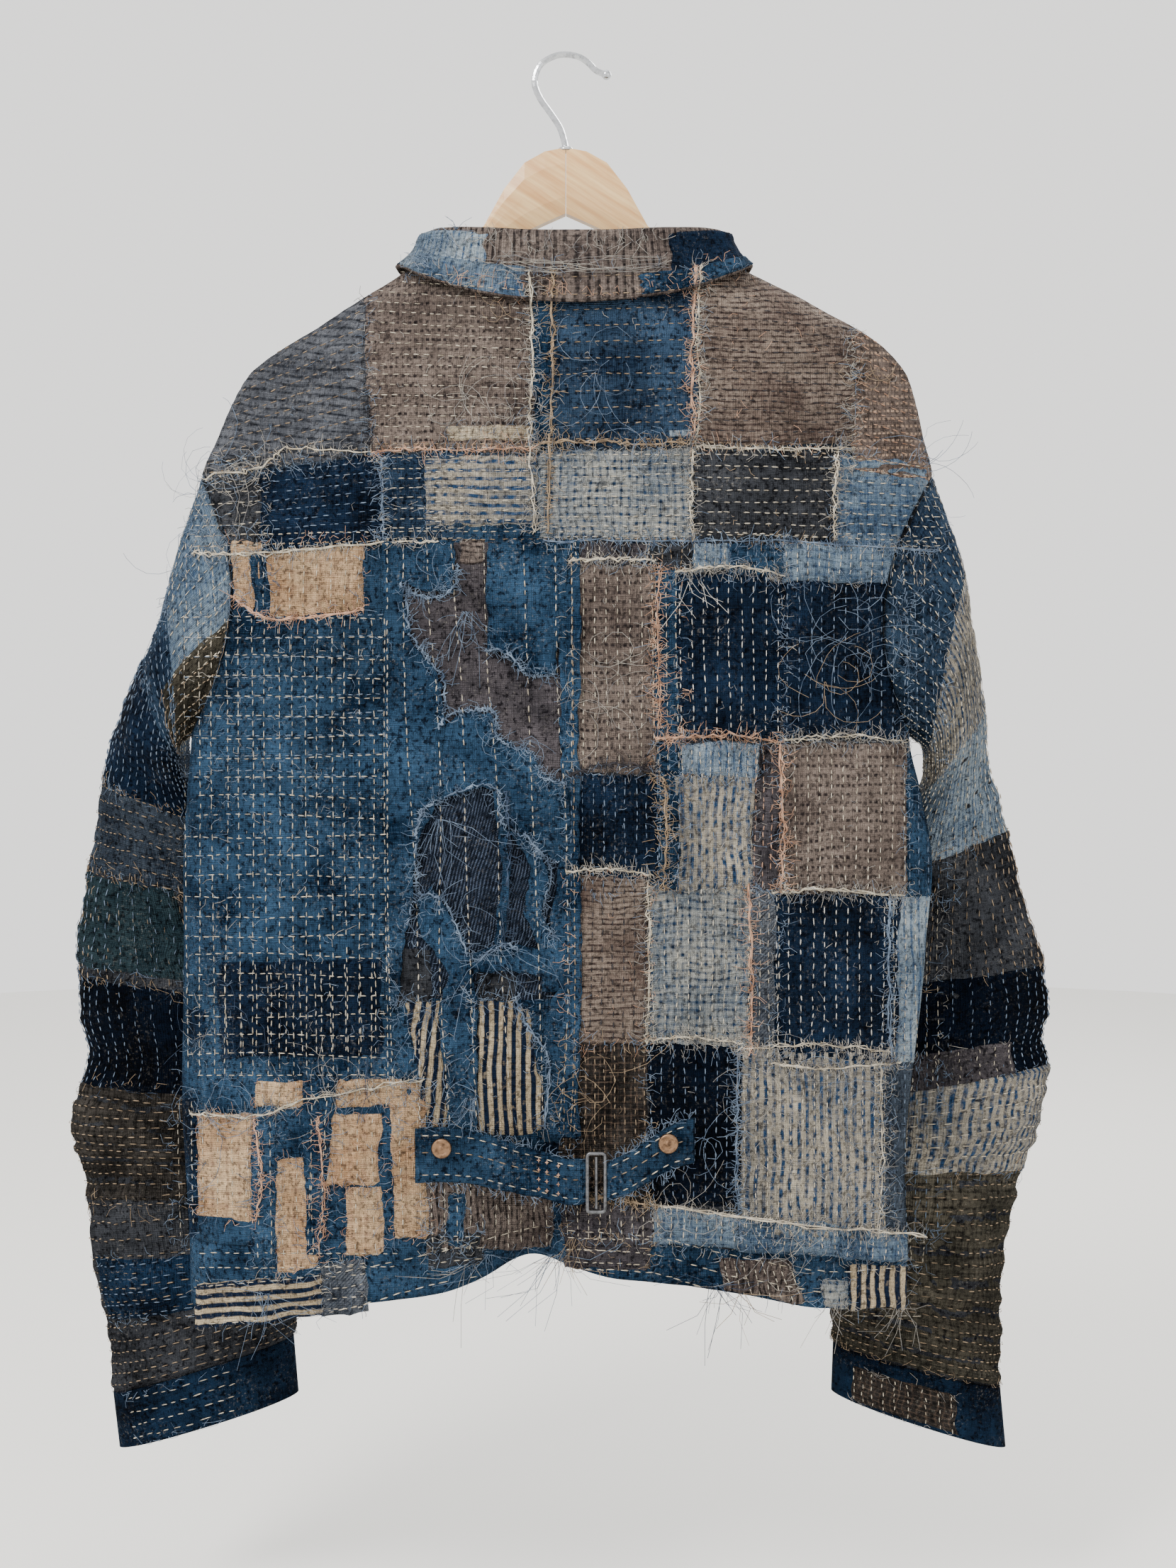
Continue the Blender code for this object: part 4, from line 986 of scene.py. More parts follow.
def run_of_stitches(ground, path, thread, long=8.5, gap=4.0, size=1.0, sway=0.8, front=False, skip=0.03):
    """Running stitches along a path of picture places."""
    unit = PX if front else 1.0
    long, gap, sway = long * unit, gap * unit, sway * unit
    for (ax, ay), (bx, by) in zip(path, path[1:]):
        far = math.hypot(bx - ax, by - ay)
        if far < 1e-6:
            continue
        ux, uy = (bx - ax) / far, (by - ay) / far
        at = chance.uniform(0, gap)
        while at < far - long * 0.5:
            length = long * chance.uniform(0.75, 1.2)
            off, off2 = chance.gauss(0, sway * 0.5), chance.gauss(0, sway * 0.5)
            stop = min(at + length, far)
            if chance.random() > skip:
                sewn[thread].append(
                    one_stitch(
                        ground,
                        (ax + ux * at - uy * off, ay + uy * at + ux * off),
                        (ax + ux * stop - uy * off2, ay + uy * stop + ux * off2),
                        size * chance.uniform(0.8, 1.2),
                        front,
                    )
                )
            at = stop + gap * chance.uniform(0.7, 1.4)


def rows_in(
    ground, place, way, pitch, thread, long=8.5, gap=4.0, size=1.0, sway=0.8, front=False, skip=0.03, bend=1.5
):
    """Rows of running stitches that fill a place, down or across."""
    upper, lower = (np.array(line, float) for line in lines_of(place))
    unit = PX if front else 1.0
    wide = (length_of(upper) + length_of(lower)) / 2
    tall = (math.dist(upper[0], lower[0]) + math.dist(upper[-1], lower[-1])) / 2
    count = max(1, round((wide if way == "down" else tall) / (pitch * unit)))
    for number in range(count):
        k = (number + 0.5) / count
        drift = chance.uniform(-bend, bend) * unit
        path = []
        for step in range(6):
            t = 0.02 + 0.96 * step / 5
            s, r = (k, t) if way == "down" else (t, k)
            x, y = (float(c) for c in between(upper, lower, s, r))
            off = drift * math.sin(t * math.pi * 1.5)
            path.append((x + (off if way == "down" else 0), y + (0 if way == "down" else off)))
        run_of_stitches(ground, path, thread, long, gap, size, sway, front, skip)


def whip(ground, path, thread, pitch=9.0, long=12.0, size=1.0, front=False, lean=0.3):
    """Stitches over an edge, square to it."""
    unit = PX if front else 1.0
    for (ax, ay), (bx, by) in zip(path, path[1:]):
        far = math.hypot(bx - ax, by - ay)
        ux, uy = (bx - ax) / far, (by - ay) / far
        at = 0.0
        while at < far:
            half = long * unit * chance.uniform(0.35, 0.65)
            slant = lean + chance.gauss(0, 0.25)
            dx, dy = -uy + ux * slant, ux + uy * slant
            x, y = ax + ux * at, ay + uy * at
            ends = (x - dx * half, y - dy * half), (x + dx * half, y + dy * half)
            sewn[thread].append(one_stitch(ground, *ends, size * chance.uniform(0.8, 1.2), front))
            at += pitch * unit * chance.uniform(0.7, 1.3)


def fuzz(ground, place, thread, count, long=10.0, high=0.0012, front=False):
    """Worn loose fibres over a place."""
    upper, lower = lines_of(place)
    for _ in range(count):
        s, r = chance.random(), chance.random()
        x, y = (float(c) for c in between(upper, lower, s, r))
        fray(ground, [(x, y), (x + 0.001, y)], thread, 1, long, chance.uniform(0, 360), 1.6, high, front)


def tangle(ground, x, y, thread, count, size=30.0, high=0.004):
    """A knot of long threads that loop round one place."""
    for _ in range(count):
        way, px, py = chance.uniform(0, 6.28), x + chance.gauss(0, size / 4), y + chance.gauss(0, size / 4)
        turn = chance.choice((-1, 1)) * chance.uniform(0.08, 0.45)
        places, heights = [], []
        for k in range(14):
            places.append((px, py))
            heights.append(0.0004 + high * abs(math.sin(k * 0.45 + way)) * chance.uniform(0.5, 1))
            px += math.cos(way) * size * 0.16
            py += math.sin(way) * size * 0.16
            way += turn * chance.uniform(0.3, 1.5)
        made = lay_thread(ground, places, heights)
        if made:
            loose[thread].append(made)


def lay_thread(ground, path, heights, front=False):
    """A loose thread over the cloth: each place with its height above it."""
    see = ground.from_front if front else ground.seen
    points, last = [], None
    for (px, py), high in zip(path, heights):
        found = see(px, py)
        if found:
            point = found[0] + found[1] * high
            if last is not None and (point - last).length > 0.02:
                point = None
        else:
            point = None
        if point is None:
            if last is None:
                return None
            if front:
                point = Vector((px, last.y, py))
            else:
                slant = math.tan(EYE_TILT + math.atan((py - 1000) / EYE_REACH))
                reach = last.y - EYE.y
                point = Vector((EYE.x + (px - 750) * reach / EYE_REACH, last.y, EYE.z - reach * slant))
        points.append(point)
        last = point
    return points


def fray(ground, path, thread, count, long=14.0, out=None, curl=1.0, high=0.0016, front=False):
    """Short loose threads that stand out from an edge of cloth."""
    unit = PX if front else 1.0
    lengths = [math.hypot(b[0] - a[0], b[1] - a[1]) for a, b in zip(path, path[1:])]
    for _ in range(count):
        run = chance.uniform(0, sum(lengths))
        i = 0
        while i < len(lengths) - 1 and run > lengths[i]:
            run -= lengths[i]
            i += 1
        (ax, ay), (bx, by) = path[i], path[i + 1]
        t = run / max(lengths[i], 1e-9)
        x, y = ax + (bx - ax) * t, ay + (by - ay) * t
        square = math.atan2(bx - ax, -(by - ay)) if out is None else math.radians(out)
        way = square + chance.gauss(0, 0.6) + (math.pi if out is None and chance.random() < 0.5 else 0)
        length = long * unit * chance.uniform(0.4, 1.5)
        turn = chance.gauss(0, 0.45) * curl
        top = high * chance.uniform(0.4, 1.3)
        places, heights = [], []
        steps = 5
        for k in range(steps):
            places.append((x, y))
            heights.append(0.0001 + top * math.sin(k / (steps - 1) * math.pi * chance.uniform(0.5, 0.9)))
            x += math.cos(way) * length / (steps - 1)
            y += math.sin(way) * length / (steps - 1)
            way += turn + chance.gauss(0, 0.25) * curl
        made = lay_thread(ground, places, heights, front)
        if made:
            loose[thread].append(made)


def threads(name, paths, thread, radius=0.00016):
    """Joins many thin round threads in one piece."""
    shape = bpy.data.curves.new(name, "CURVE")
    shape.dimensions = "3D"
    shape.bevel_depth = radius
    shape.bevel_resolution = 0
    shape.resolution_u = 1
    for path in paths:
        path = [*path[:-1:2], path[-1]] if len(path) > 3 and radius < 0.0004 else path
        spline = shape.splines.new("POLY")
        spline.points.add(len(path) - 1)
        spline.points.foreach_set("co", [c for p in path for c in (*p, 1.0)])
        thick = chance.uniform(0.7, 1.25)
        spline.points.foreach_set("radius", [thick * (1 - 0.35 * k / len(path)) for k in range(len(path))])
    holder = bpy.data.objects.new(name, shape)
    bpy.context.scene.collection.objects.link(holder)
    bpy.context.view_layer.update()
    data = bpy.data.meshes.new_from_object(holder.evaluated_get(bpy.context.evaluated_depsgraph_get()))
    bpy.data.objects.remove(holder)
    bpy.data.curves.remove(shape)
    data.polygons.foreach_set("use_smooth", np.ones(len(data.polygons), bool))
    data.materials.clear()
    return thing(name, data, THREADS[thread])


def smooth_path(places, steps=4):
    """More places along a path, rounded at its corners."""
    points = []
    count = len(places)
    for i in range(count - 1):
        p0, p1 = places[max(i - 1, 0)], places[i]
        p2, p3 = places[i + 1], places[min(i + 2, count - 1)]
        for k in range(steps):
            t = k / steps
            points.append(
                tuple(
                    0.5 * (2 * b + (c - a) * t + (2 * a - 5 * b + 4 * c - d) * t * t + (3 * b - a - 3 * c + d) * t**3)
                    for a, b, c, d in zip(p0, p1, p2, p3)
                )
            )
    points.append(tuple(places[-1]))
    return points


def raw_cord(ground, path, sway=1.6, high=0.0006):
    """A rolled raw edge along a path, as points on the cloth."""
    places = smooth_path(path, 12)
    places = [(x + chance.gauss(0, sway), y + chance.gauss(0, sway)) for x, y in places]
    return lay_thread(ground, places, [high * chance.uniform(0.7, 1.5) for _ in places])


# Where the patches are, as the picture shows them: cloth, place, layer, grain, rows of
# stitches with their thread, and the thread that its edges fray into
YOKE_PATCHES = [
    ("slate_grey", ((230, 480), (470, 345), (476, 580), (250, 612)), 1, -6, ("across", 15, "tan"), "blue"),
    ("charcoal", ((250, 585), (345, 575), (345, 702), (244, 704)), 1, -4, ("across", 13, "cream"), "cream"),
    ("taupe", ((464, 336), (688, 352), (688, 577), (472, 577)), 2, 0, ("across", 13, "cream"), "cream"),
    ("slate_blue", ((684, 345), (892, 338), (892, 570), (686, 570)), 1, 0, ("across", 21, "tan"), "cream"),
    ("mauve", ((888, 330), (1088, 352), (1090, 570), (888, 568)), 2, 0, ("across", 13, "dark"), "peach"),
    ("brown", ((1084, 345), (1200, 440), (1206, 618), (1084, 606)), 1, 0, ("across", 14, "peach"), "cream"),
    ("navy", ((330, 598), (490, 582), (492, 694), (332, 708)), 3, -4, ("across", 12, "blue"), "cream"),
    ("slate_blue", ((484, 578), (594, 576), (594, 692), (486, 694)), 1, 0, ("across", 13, "cream"), "cream"),
    ("blue_stripe", ((540, 584), (686, 580), (686, 668), (542, 672)),
     3, 90, ("across", 12, "cream"), "cream"),
    ("small_check", ((684, 576), (886, 572), (886, 690), (686, 692)), 1, 0, ("across", 13, "cream"), "cream"),
    ("charcoal", ((880, 572), (1072, 576), (1070, 692), (882, 690)), 2, 0, ("across", 14, "cream"), "tan"),
    ("faded_blue", ((1058, 576), (1206, 592), (1204, 704), (1062, 702)),
     1, 0, ("across", 13, "cream"), "blue"),
    ("indigo", ((676, 340), (708, 340), (706, 576), (676, 576)), 4, 0, None, "cream"),
    ("cream", ((566, 544), (686, 541), (686, 566), (568, 566)), 4, 0, None, "cream"),
    ("light_blue", ((846, 548), (884, 548), (884, 560), (846, 560)), 3, 0, None, None),
]
LEFT_PATCHES = [
    ("peach", ([(290, 688), (470, 686)], [(300, 762), (352, 790),
     (465, 778)]), 1, 0, ("down", 18, "cream"), "peach"),
    ("indigo_dark", ((212, 690), (300, 688), (300, 775), (214, 800)), 1, 0, ("down", 18, "cream"), "blue"),
    ("indigo", ((318, 700), (346, 702), (352, 792), (322, 780)), 2, 0, None, "blue"),
    ("navy", ((276, 1228), (486, 1222), (488, 1346), (278, 1350)), 1, 0, ("down", 20, "cream"), None),
    ("indigo_dark", ((238, 1288), (262, 1288), (262, 1326), (238, 1326)), 1, 0, None, "cream"),
    ("peach", ((322, 1380), (386, 1378), (384, 1414), (322, 1414)), 1, 0, ("down", 20, "cream"), "peach"),
    ("peach", ((425, 1374), (540, 1374), (538, 1412), (425, 1412)), 1, 0, ("down", 20, "cream"), "cream"),
    ("peach", ((494, 1400), (545, 1400), (547, 1580), (500, 1580)), 2, 0, ("down", 20, "cream"), "peach"),
    ("peach", ((403, 1420), (484, 1420), (482, 1510), (405, 1516)), 1, 0, ("down", 20, "cream"), "peach"),
    ("peach", ((246, 1421), (322, 1421), (320, 1560), (246, 1550)), 1, 0, ("down", 20, "cream"), "peach"),
    ("peach", ((346, 1478), (405, 1478), (405, 1618), (348, 1624)), 1, 0, ("down", 20, "cream"), "peach"),
    ("peach", ((438, 1514), (487, 1514), (487, 1600), (440, 1600)), 1, 0, ("down", 20, "cream"), "peach"),
    ("indigo_dark", ((216, 1400), (250, 1400), (250, 1580), (216, 1580)),
     2, 0, ("down", 18, "cream"), "blue"),
    ("indigo", ((318, 1410), (350, 1410), (350, 1610), (318, 1610)), 3, 0, ("down", 16, "cream"), "blue"),
    ("indigo", ((384, 1376), (428, 1376), (410, 1600), (384, 1600)), 3, 0, ("down", 20, "cream"), "blue"),
    ("taupe_grey", ((505, 690), (630, 690), (640, 935), (520, 935)), 1, 0, None, None),
    ("taupe_fine", ((584, 686), (620, 686), (620, 720), (584, 722)), 2, 90, None, None),
    ("taupe_grey", ((620, 800), (738, 810), (738, 1010), (632, 1000)), 2, 0, None, None),
    ("twill", ((512, 1000), (738, 985), (738, 1278), (506, 1278)), 1, 30, None, None),
    ("charcoal", ((492, 1204), (551, 1210), (553, 1280), (496, 1282)), 3, 0, None, "blue"),
    ("charcoal", ((606, 1236), (660, 1240), (660, 1282), (608, 1282)), 3, 0, None, "blue"),
    ("indigo", ((504, 1270), (738, 1268), (738, 1462), (514, 1452)), 1, 0, None, "blue"),
    ("ticking", ((512, 1274), (562, 1274), (575, 1430), (546, 1448)), 3, -6, None, "cream"),
    ("ticking", ([(606, 1272), (656, 1272), (676, 1290)],
     [(604, 1448), (660, 1450), (704, 1440)]), 3, 0, None, "cream"),
    ("taupe_fine", ((540, 1488), (706, 1500), (704, 1590), (542, 1600)),
     1, 0, ("down", 16, "cream"), "cream"),
    ("indigo", ((566, 1520), (592, 1520), (592, 1592), (566, 1592)), 3, 0, None, "cream"),
    ("peach", ((540, 1440), (552, 1440), (560, 1500), (540, 1500)), 2, 0, None, None),
]
RIGHT_PATCHES = [
    ("charcoal", ((722, 690), (1160, 690), (1206, 1610), (722, 1580)), 1, 0, None, None),
    ("taupe_grey", ((726, 690), (836, 690), (832, 720), (728, 722)), 2, 0, ("down", 16, "cream"), "cream"),
    ("charcoal", ((826, 690), (886, 690), (886, 728), (828, 730)), 2, 0, ("down", 12, "tan"), "blue"),
    ("light_blue", ((878, 690), (932, 690), (930, 730), (880, 732)), 3, 0, ("down", 14, "cream"), "cream"),
    ("indigo", ((924, 690), (1006, 690), (1004, 742), (926, 742)), 2, 0, ("down", 12, "blue"), "blue"),
    ("faded_blue", ((996, 690), (1186, 696), (1184, 748), (996, 744)), 3, 0, ("down", 14, "cream"), "cream"),
    ("taupe", ((722, 716), (838, 716), (842, 990), (722, 988)), 2, 0, ("down", 15, "cream"), "cream"),
    ("indigo", ((830, 722), (868, 722), (872, 990), (832, 992)), 2, 0, ("down", 12, "cream"), "peach"),
    ("navy", ((858, 728), (1000, 730), (1000, 944), (862, 944)), 3, 0, ("down", 16, "white"), "cream"),
    ("navy", ((996, 740), (1160, 742), (1162, 946), (996, 944)), 2, 0, ("down", 15, "blue"), "blue"),
    ("navy", ((722, 984), (846, 988), (846, 1140), (722, 1138)), 2, 0, ("down", 14, "blue"), "blue"),
    ("indigo", ((834, 944), (874, 944), (872, 1140), (836, 1140)), 3, 0, ("down", 12, "blue"), "tan"),
    ("blue_stripe", ((858, 986), (966, 986), (962, 1138), (858, 1138)), 3, 0, ("down", 16, "blue"), "cream"),
    ("light_blue", ((862, 946), (974, 946), (970, 996), (866, 994)), 4, 0, ("down", 12, "cream"), "blue"),
    ("taupe_grey", ((958, 946), (1000, 946), (1000, 1138), (958, 1138)),
     2, 0, ("down", 12, "peach"), "cream"),
    ("taupe", ((990, 946), (1162, 946), (1162, 1144), (994, 1142)), 3, 0, ("down", 15, "cream"), "cream"),
    ("indigo", ((1150, 740), (1200, 760), (1218, 1150), (1156, 1148)), 4, 0, ("down", 12, "blue"), "blue"),
    ("mauve", ((722, 1112), (830, 1116), (830, 1334), (718, 1332)), 3, 0, ("down", 14, "dark"), "peach"),
    ("small_check", ((824, 1124), (965, 1128), (962, 1340), (826, 1338)),
     2, 0, ("down", 15, "cream"), "cream"),
    ("grey_denim", ((950, 1134), (1000, 1134), (1000, 1352), (952, 1350)),
     2, 0, ("down", 12, "cream"), "blue"),
    ("navy", ((984, 1138), (1152, 1140), (1150, 1356), (986, 1356)), 4, 0, ("down", 15, "white"), "cream"),
    ("light_blue", ((1134, 1140), (1204, 1142), (1206, 1362), (1136, 1360)),
     3, 0, ("down", 14, "cream"), "cream"),
    ("dark_brown", ((714, 1326), (828, 1330), (832, 1540), (712, 1500)), 2, 0, ("down", 13, "tan"), "tan"),
    ("deep_navy", ((824, 1326), (950, 1328), (948, 1540), (826, 1536)), 3, 0, ("down", 14, "blue"), "cream"),
    ("blue_stripe", ((942, 1336), (1140, 1336), (1138, 1584), (944, 1580)),
     4, 0, ("down", 15, "cream"), "cream"),
    ("slate", ((1122, 1352), (1206, 1350), (1206, 1580), (1124, 1578)), 5, 0, ("down", 13, "blue"), "blue"),
    ("faded_blue", ((832, 1536), (1190, 1570), (1190, 1612), (832, 1588)),
     5, 0, ("down", 16, "cream"), "cream"),
    ("taupe_grey", ((716, 1530), (842, 1540), (842, 1592), (716, 1576)), 2, 0, ("down", 14, "cream"), "tan"),
]
BAND_PATCHES = [
    ("ticking_across", ((240, 1636), (410, 1626), (408, 1680), (244, 1694)), 1, 4, None, "cream"),
    ("grey_denim", ((405, 1610), (465, 1604), (465, 1672), (407, 1680)),
     2, 0, ("across", 15, "cream"), "cream"),
    ("charcoal", ((542, 1572), (618, 1568), (618, 1612), (544, 1620)), 2, 0, ("across", 15, "cream"), "blue"),
    ("taupe_grey", ((718, 1570), (832, 1574), (830, 1622), (718, 1616)),
     2, 0, ("across", 15, "cream"), "tan"),
    ("taupe_fine", ((920, 1602), (1012, 1608), (1034, 1664), (926, 1646)),
     2, 0, ("down", 13, "cream"), "cream"),
    ("small_check", ((1052, 1630), (1086, 1632), (1086, 1668), (1054, 1666)), 2, 0, None, "cream"),
    ("ticking", ((1084, 1614), (1176, 1612), (1174, 1668), (1086, 1672)), 1, 0, None, "cream"),
]
# What is left of the torn outer cloth: upper and lower line of each remnant
TORN_REMNANTS = [
    ([(490, 692), (490, 850), (492, 1000), (492, 1150), (494, 1285)],
     [(514, 692), (524, 815), (566, 872), (568, 1010), (530, 1070), (528, 1140), (506, 1285)]),
    ([(510, 692), (582, 692)], [(512, 742), (540, 752), (580, 756)]),
    ([(621, 690), (724, 690)], [(624, 829), (649, 834), (668, 857), (690, 862), (712, 860)]),
    ([(560, 928), (590, 908), (628, 908), (636, 938), (652, 951), (678, 960), (687, 985), (724, 998)],
     [(531, 1065), (537, 1035), (559, 1022), (615, 1000), (637, 1010), (640, 1048), (671, 1066), (690, 1091),
      (724, 1110)]),
    ([(712, 690), (714, 860), (718, 990), (712, 1100), (704, 1180), (712, 1262), (692, 1290), (702, 1354),
      (696, 1450)], [(738, 690), (740, 860), (740, 990), (740, 1100), (740, 1180), (740, 1262), (740, 1300),
      (740, 1354), (738, 1452)]),
    ([(630, 1005), (640, 1100), (629, 1204)], [(645, 1010), (650, 1100), (641, 1210)]),
    ([(527, 1150), (536, 1185), (572, 1244), (560, 1290), (574, 1446)],
     [(549, 1130), (573, 1160), (602, 1222), (610, 1285), (608, 1446)]),
    ([(648, 1060), (676, 1104), (670, 1160), (690, 1204), (694, 1262)],
     [(668, 1064), (702, 1109), (692, 1165), (712, 1200), (720, 1262)]),
    ([(600, 1215), (640, 1200), (694, 1215)], [(602, 1240), (640, 1236), (694, 1246)]),
]
SEAM_LINES = [
    # places, thread, stitch length, gap: lines of sewing over the torn part and the seams
    ([(515, 692), (517, 900), (531, 1150), (534, 1440)], "cream", 9, 4),
    ([(545, 700), (549, 800), (556, 872), (562, 1010), (560, 1240), (573, 1440)], "cream", 9, 4),
    ([(576, 692), (580, 760), (590, 900), (594, 1100), (607, 1440)], "cream", 9, 4),
    ([(618, 692), (622, 860), (634, 1000), (638, 1204), (652, 1440)], "cream", 9, 4),
    ([(668, 692), (673, 860), (678, 1000), (686, 1200), (693, 1440)], "cream", 9, 4),
    ([(708, 692), (712, 900), (722, 1050), (724, 1300), (712, 1440)], "cream", 9, 4),
    ([(729, 692), (731, 900), (733, 1300), (724, 1500)], "tan", 8, 3),
    ([(495, 690), (494, 1150), (500, 1400)], "cream", 7, 4),
    ([(250, 684), (486, 678), (690, 678), (890, 678), (1200, 692)], "cream", 7, 4),
    ([(250, 697), (486, 690), (690, 688), (890, 688), (1200, 702)], "tan", 7, 4),
    ([(476, 566), (690, 566), (890, 562), (1200, 598)], "tan", 7, 4),
    ([(240, 1642), (395, 1628), (544, 1600), (676, 1566), (720, 1566)], "cream", 12, 5),
    ([(240, 1690), (407, 1676), (544, 1640), (676, 1616), (720, 1612)], "cream", 12, 5),
    ([(720, 1570), (835, 1578), (930, 1600), (1060, 1622), (1186, 1612)], "cream", 12, 5),
    ([(720, 1618), (835, 1624), (930, 1652), (1060, 1676), (1186, 1678)], "cream", 12, 5),
    ([(720, 1594), (835, 1600), (930, 1626), (1060, 1650)], "cream", 12, 5),
]
RAW_EDGES = [
    # places, thread, how many threads it frays into
    ([(262, 610), (339, 593), (371, 573), (475, 577)], "cream", 60),
    ([(476, 577), (530, 572), (575, 574), (686, 570)], "peach", 70),
    ([(686, 566), (760, 562), (820, 566), (888, 563)], "tan", 70),
    ([(888, 569), (980, 573), (1088, 572)], "cream", 50),
    ([(466, 350), (470, 460), (478, 576)], "dark", 60),
    ([(676, 345), (680, 450), (676, 560), (682, 680)], "cream", 120),
    ([(706, 345), (704, 450), (702, 560), (700, 680)], "tan", 90),
    ([(893, 338), (888, 430), (892, 500), (886, 566)], "cream", 170),
    ([(886, 340), (882, 450), (884, 560)], "peach", 90),
    ([(1088, 350), (1082, 460), (1086, 600)], "cream", 110),
    ([(1066, 576), (1062, 640), (1064, 690)], "cream", 60),
    ([(486, 580), (490, 640), (488, 690)], "blue", 60),
    ([(884, 574), (880, 640), (884, 690)], "cream", 50),
    ([(250, 705), (330, 706), (486, 692), (560, 690)], "cream", 90),
    ([(690, 690), (890, 690), (1000, 690), (1196, 704)], "blue", 120),
    ([(512, 745), (530, 758), (556, 762), (580, 748), (584, 720)], "blue", 70),
    ([(519, 742), (522, 800), (548, 842), (566, 868), (566, 920)], "blue", 60),
    ([(624, 829), (649, 834), (668, 857), (690, 862), (712, 860)], "blue", 80),
    ([(560, 928), (573, 912), (600, 906), (630, 908), (634, 940), (655, 953), (680, 962), (690, 990),
      (724, 1000)], "blue", 110),
    ([(531, 1065), (537, 1035), (559, 1022), (600, 1004), (634, 1008), (640, 1048), (671, 1068), (690, 1091),
      (712, 1100)], "blue", 110),
    ([(531, 1065), (530, 1130), (520, 1180)], "blue", 50),
    ([(645, 1010), (650, 1100), (641, 1210)], "indigo", 60),
    ([(527, 1150), (536, 1140), (560, 1145), (573, 1160), (602, 1222), (640, 1205), (662, 1212)], "blue", 90),
    ([(668, 1064), (702, 1109), (692, 1165), (712, 1200)], "blue", 70),
    ([(656, 1272), (677, 1316), (700, 1354), (694, 1440)], "blue", 50),
    ([(726, 716), (780, 712), (836, 716)], "cream", 60),
    ([(842, 722), (838, 800), (842, 930)], "peach", 140),
    ([(862, 728), (930, 722), (998, 734)], "cream", 80),
    ([(726, 988), (780, 975), (840, 984)], "dark", 90),
    ([(836, 942), (930, 938), (1000, 946)], "peach", 90),
    ([(1000, 944), (1080, 938), (1160, 946)], "cream", 120),
    ([(996, 950), (1000, 1050), (998, 1138)], "peach", 90),
    ([(846, 990), (850, 1060), (846, 1136)], "tan", 90),
    ([(722, 1112), (780, 1108), (832, 1116)], "cream", 80),
    ([(986, 1138), (1060, 1134), (1152, 1142)], "cream", 90),
    ([(986, 1356), (1060, 1362), (1150, 1356)], "cream", 110),
    ([(826, 1124), (828, 1240), (824, 1330)], "cream", 70),
    ([(956, 1130), (960, 1240), (958, 1345)], "peach", 80),
    ([(1136, 1142), (1134, 1240), (1138, 1356)], "blue", 80),
    ([(824, 1328), (880, 1322), (948, 1330)], "cream", 70),
    ([(944, 1340), (940, 1460), (946, 1580)], "blue", 120),
    ([(942, 1338), (1040, 1332), (1138, 1342)], "cream", 110),
    ([(1124, 1356), (1128, 1460), (1124, 1578)], "cream", 110),
    ([(832, 1536), (1000, 1560), (1186, 1576)], "cream", 160),
    ([(716, 1530), (780, 1528), (842, 1540)], "tan", 70),
    ([(240, 1420), (322, 1424), (400, 1400), (540, 1376)], "cream", 90),
    ([(322, 1425), (330, 1500), (322, 1560)], "peach", 50),
    ([(404, 1425), (410, 1510), (404, 1600)], "peach", 50),
    ([(300, 762), (352, 790), (465, 778)], "peach", 60),
]
HANGING = [
    # start, thread, count, length, spread of the heading about straight down, height
    ((330, 1650), "blue", 16, 70, 0.5, 0.004),
    ((710, 1600), "blue", 22, 80, 0.5, 0.004),
    ((735, 1580), "tan", 10, 60, 0.5, 0.003),
    ((620, 1600), "blue", 12, 60, 0.6, 0.003),
    ((600, 1612), "cream", 8, 80, 0.7, 0.003),
    ((915, 1640), "indigo", 16, 70, 0.5, 0.004),
    ((943, 1650), "tan", 12, 60, 0.5, 0.004),
    ((1068, 1660), "cream", 10, 50, 0.8, 0.003),
    ((1150, 1668), "cream", 12, 50, 0.8, 0.003),
    ((566, 1045), "blue", 12, 90, 0.35, 0.004),
    ((636, 1205), "blue", 14, 90, 0.6, 0.004),
    ((880, 730), "white", 7, 60, 0.3, 0.003),
    ((598, 780), "blue", 12, 70, 0.4, 0.004),
    ((545, 1290), "blue", 10, 70, 0.8, 0.003),
    ((600, 1400), "blue", 12, 80, 0.6, 0.004),
    ((470, 1350), "indigo", 10, 60, 0.6, 0.003),
]
TANGLES = [
    # place, thread, count, size
    (298, 624, "cream", 26, 44),
    (285, 606, "blue", 16, 50),
    (1102, 478, "tan", 12, 26),
    (600, 515, "cream", 16, 40),
    (655, 530, "cream", 16, 34),
    (760, 470, "blue", 14, 46),
    (820, 555, "blue", 12, 40),
    (640, 385, "tan", 6, 30),
    (1168, 596, "blue", 14, 40),
    (1080, 800, "blue", 20, 60),
    (1040, 870, "tan", 14, 46),
    (1115, 860, "blue", 16, 50),
    (770, 905, "cream", 18, 44),
    (790, 840, "cream", 12, 40),
    (560, 742, "blue", 10, 26),
    (600, 800, "blue", 8, 22),
    (655, 955, "blue", 12, 34),
    (545, 1170, "blue", 10, 30),
    (610, 1215, "blue", 14, 40),
    (560, 1385, "blue", 10, 40),
    (900, 1460, "blue", 10, 40),
    (980, 1400, "cream", 14, 50),
    (1050, 1480, "cream", 16, 60),
    (1100, 1400, "blue", 14, 50),
    (760, 1400, "tan", 14, 50),
    (860, 1550, "cream", 12, 44),
    (1000, 1590, "cream", 14, 50),
    (1150, 1540, "blue", 14, 44),
    (270, 1420, "blue", 16, 50),
    (420, 1400, "cream", 12, 40),
    (300, 1320, "indigo", 14, 50),
    (640, 342, "cream", 14, 34),
    (246, 700, "blue", 16, 50),
]
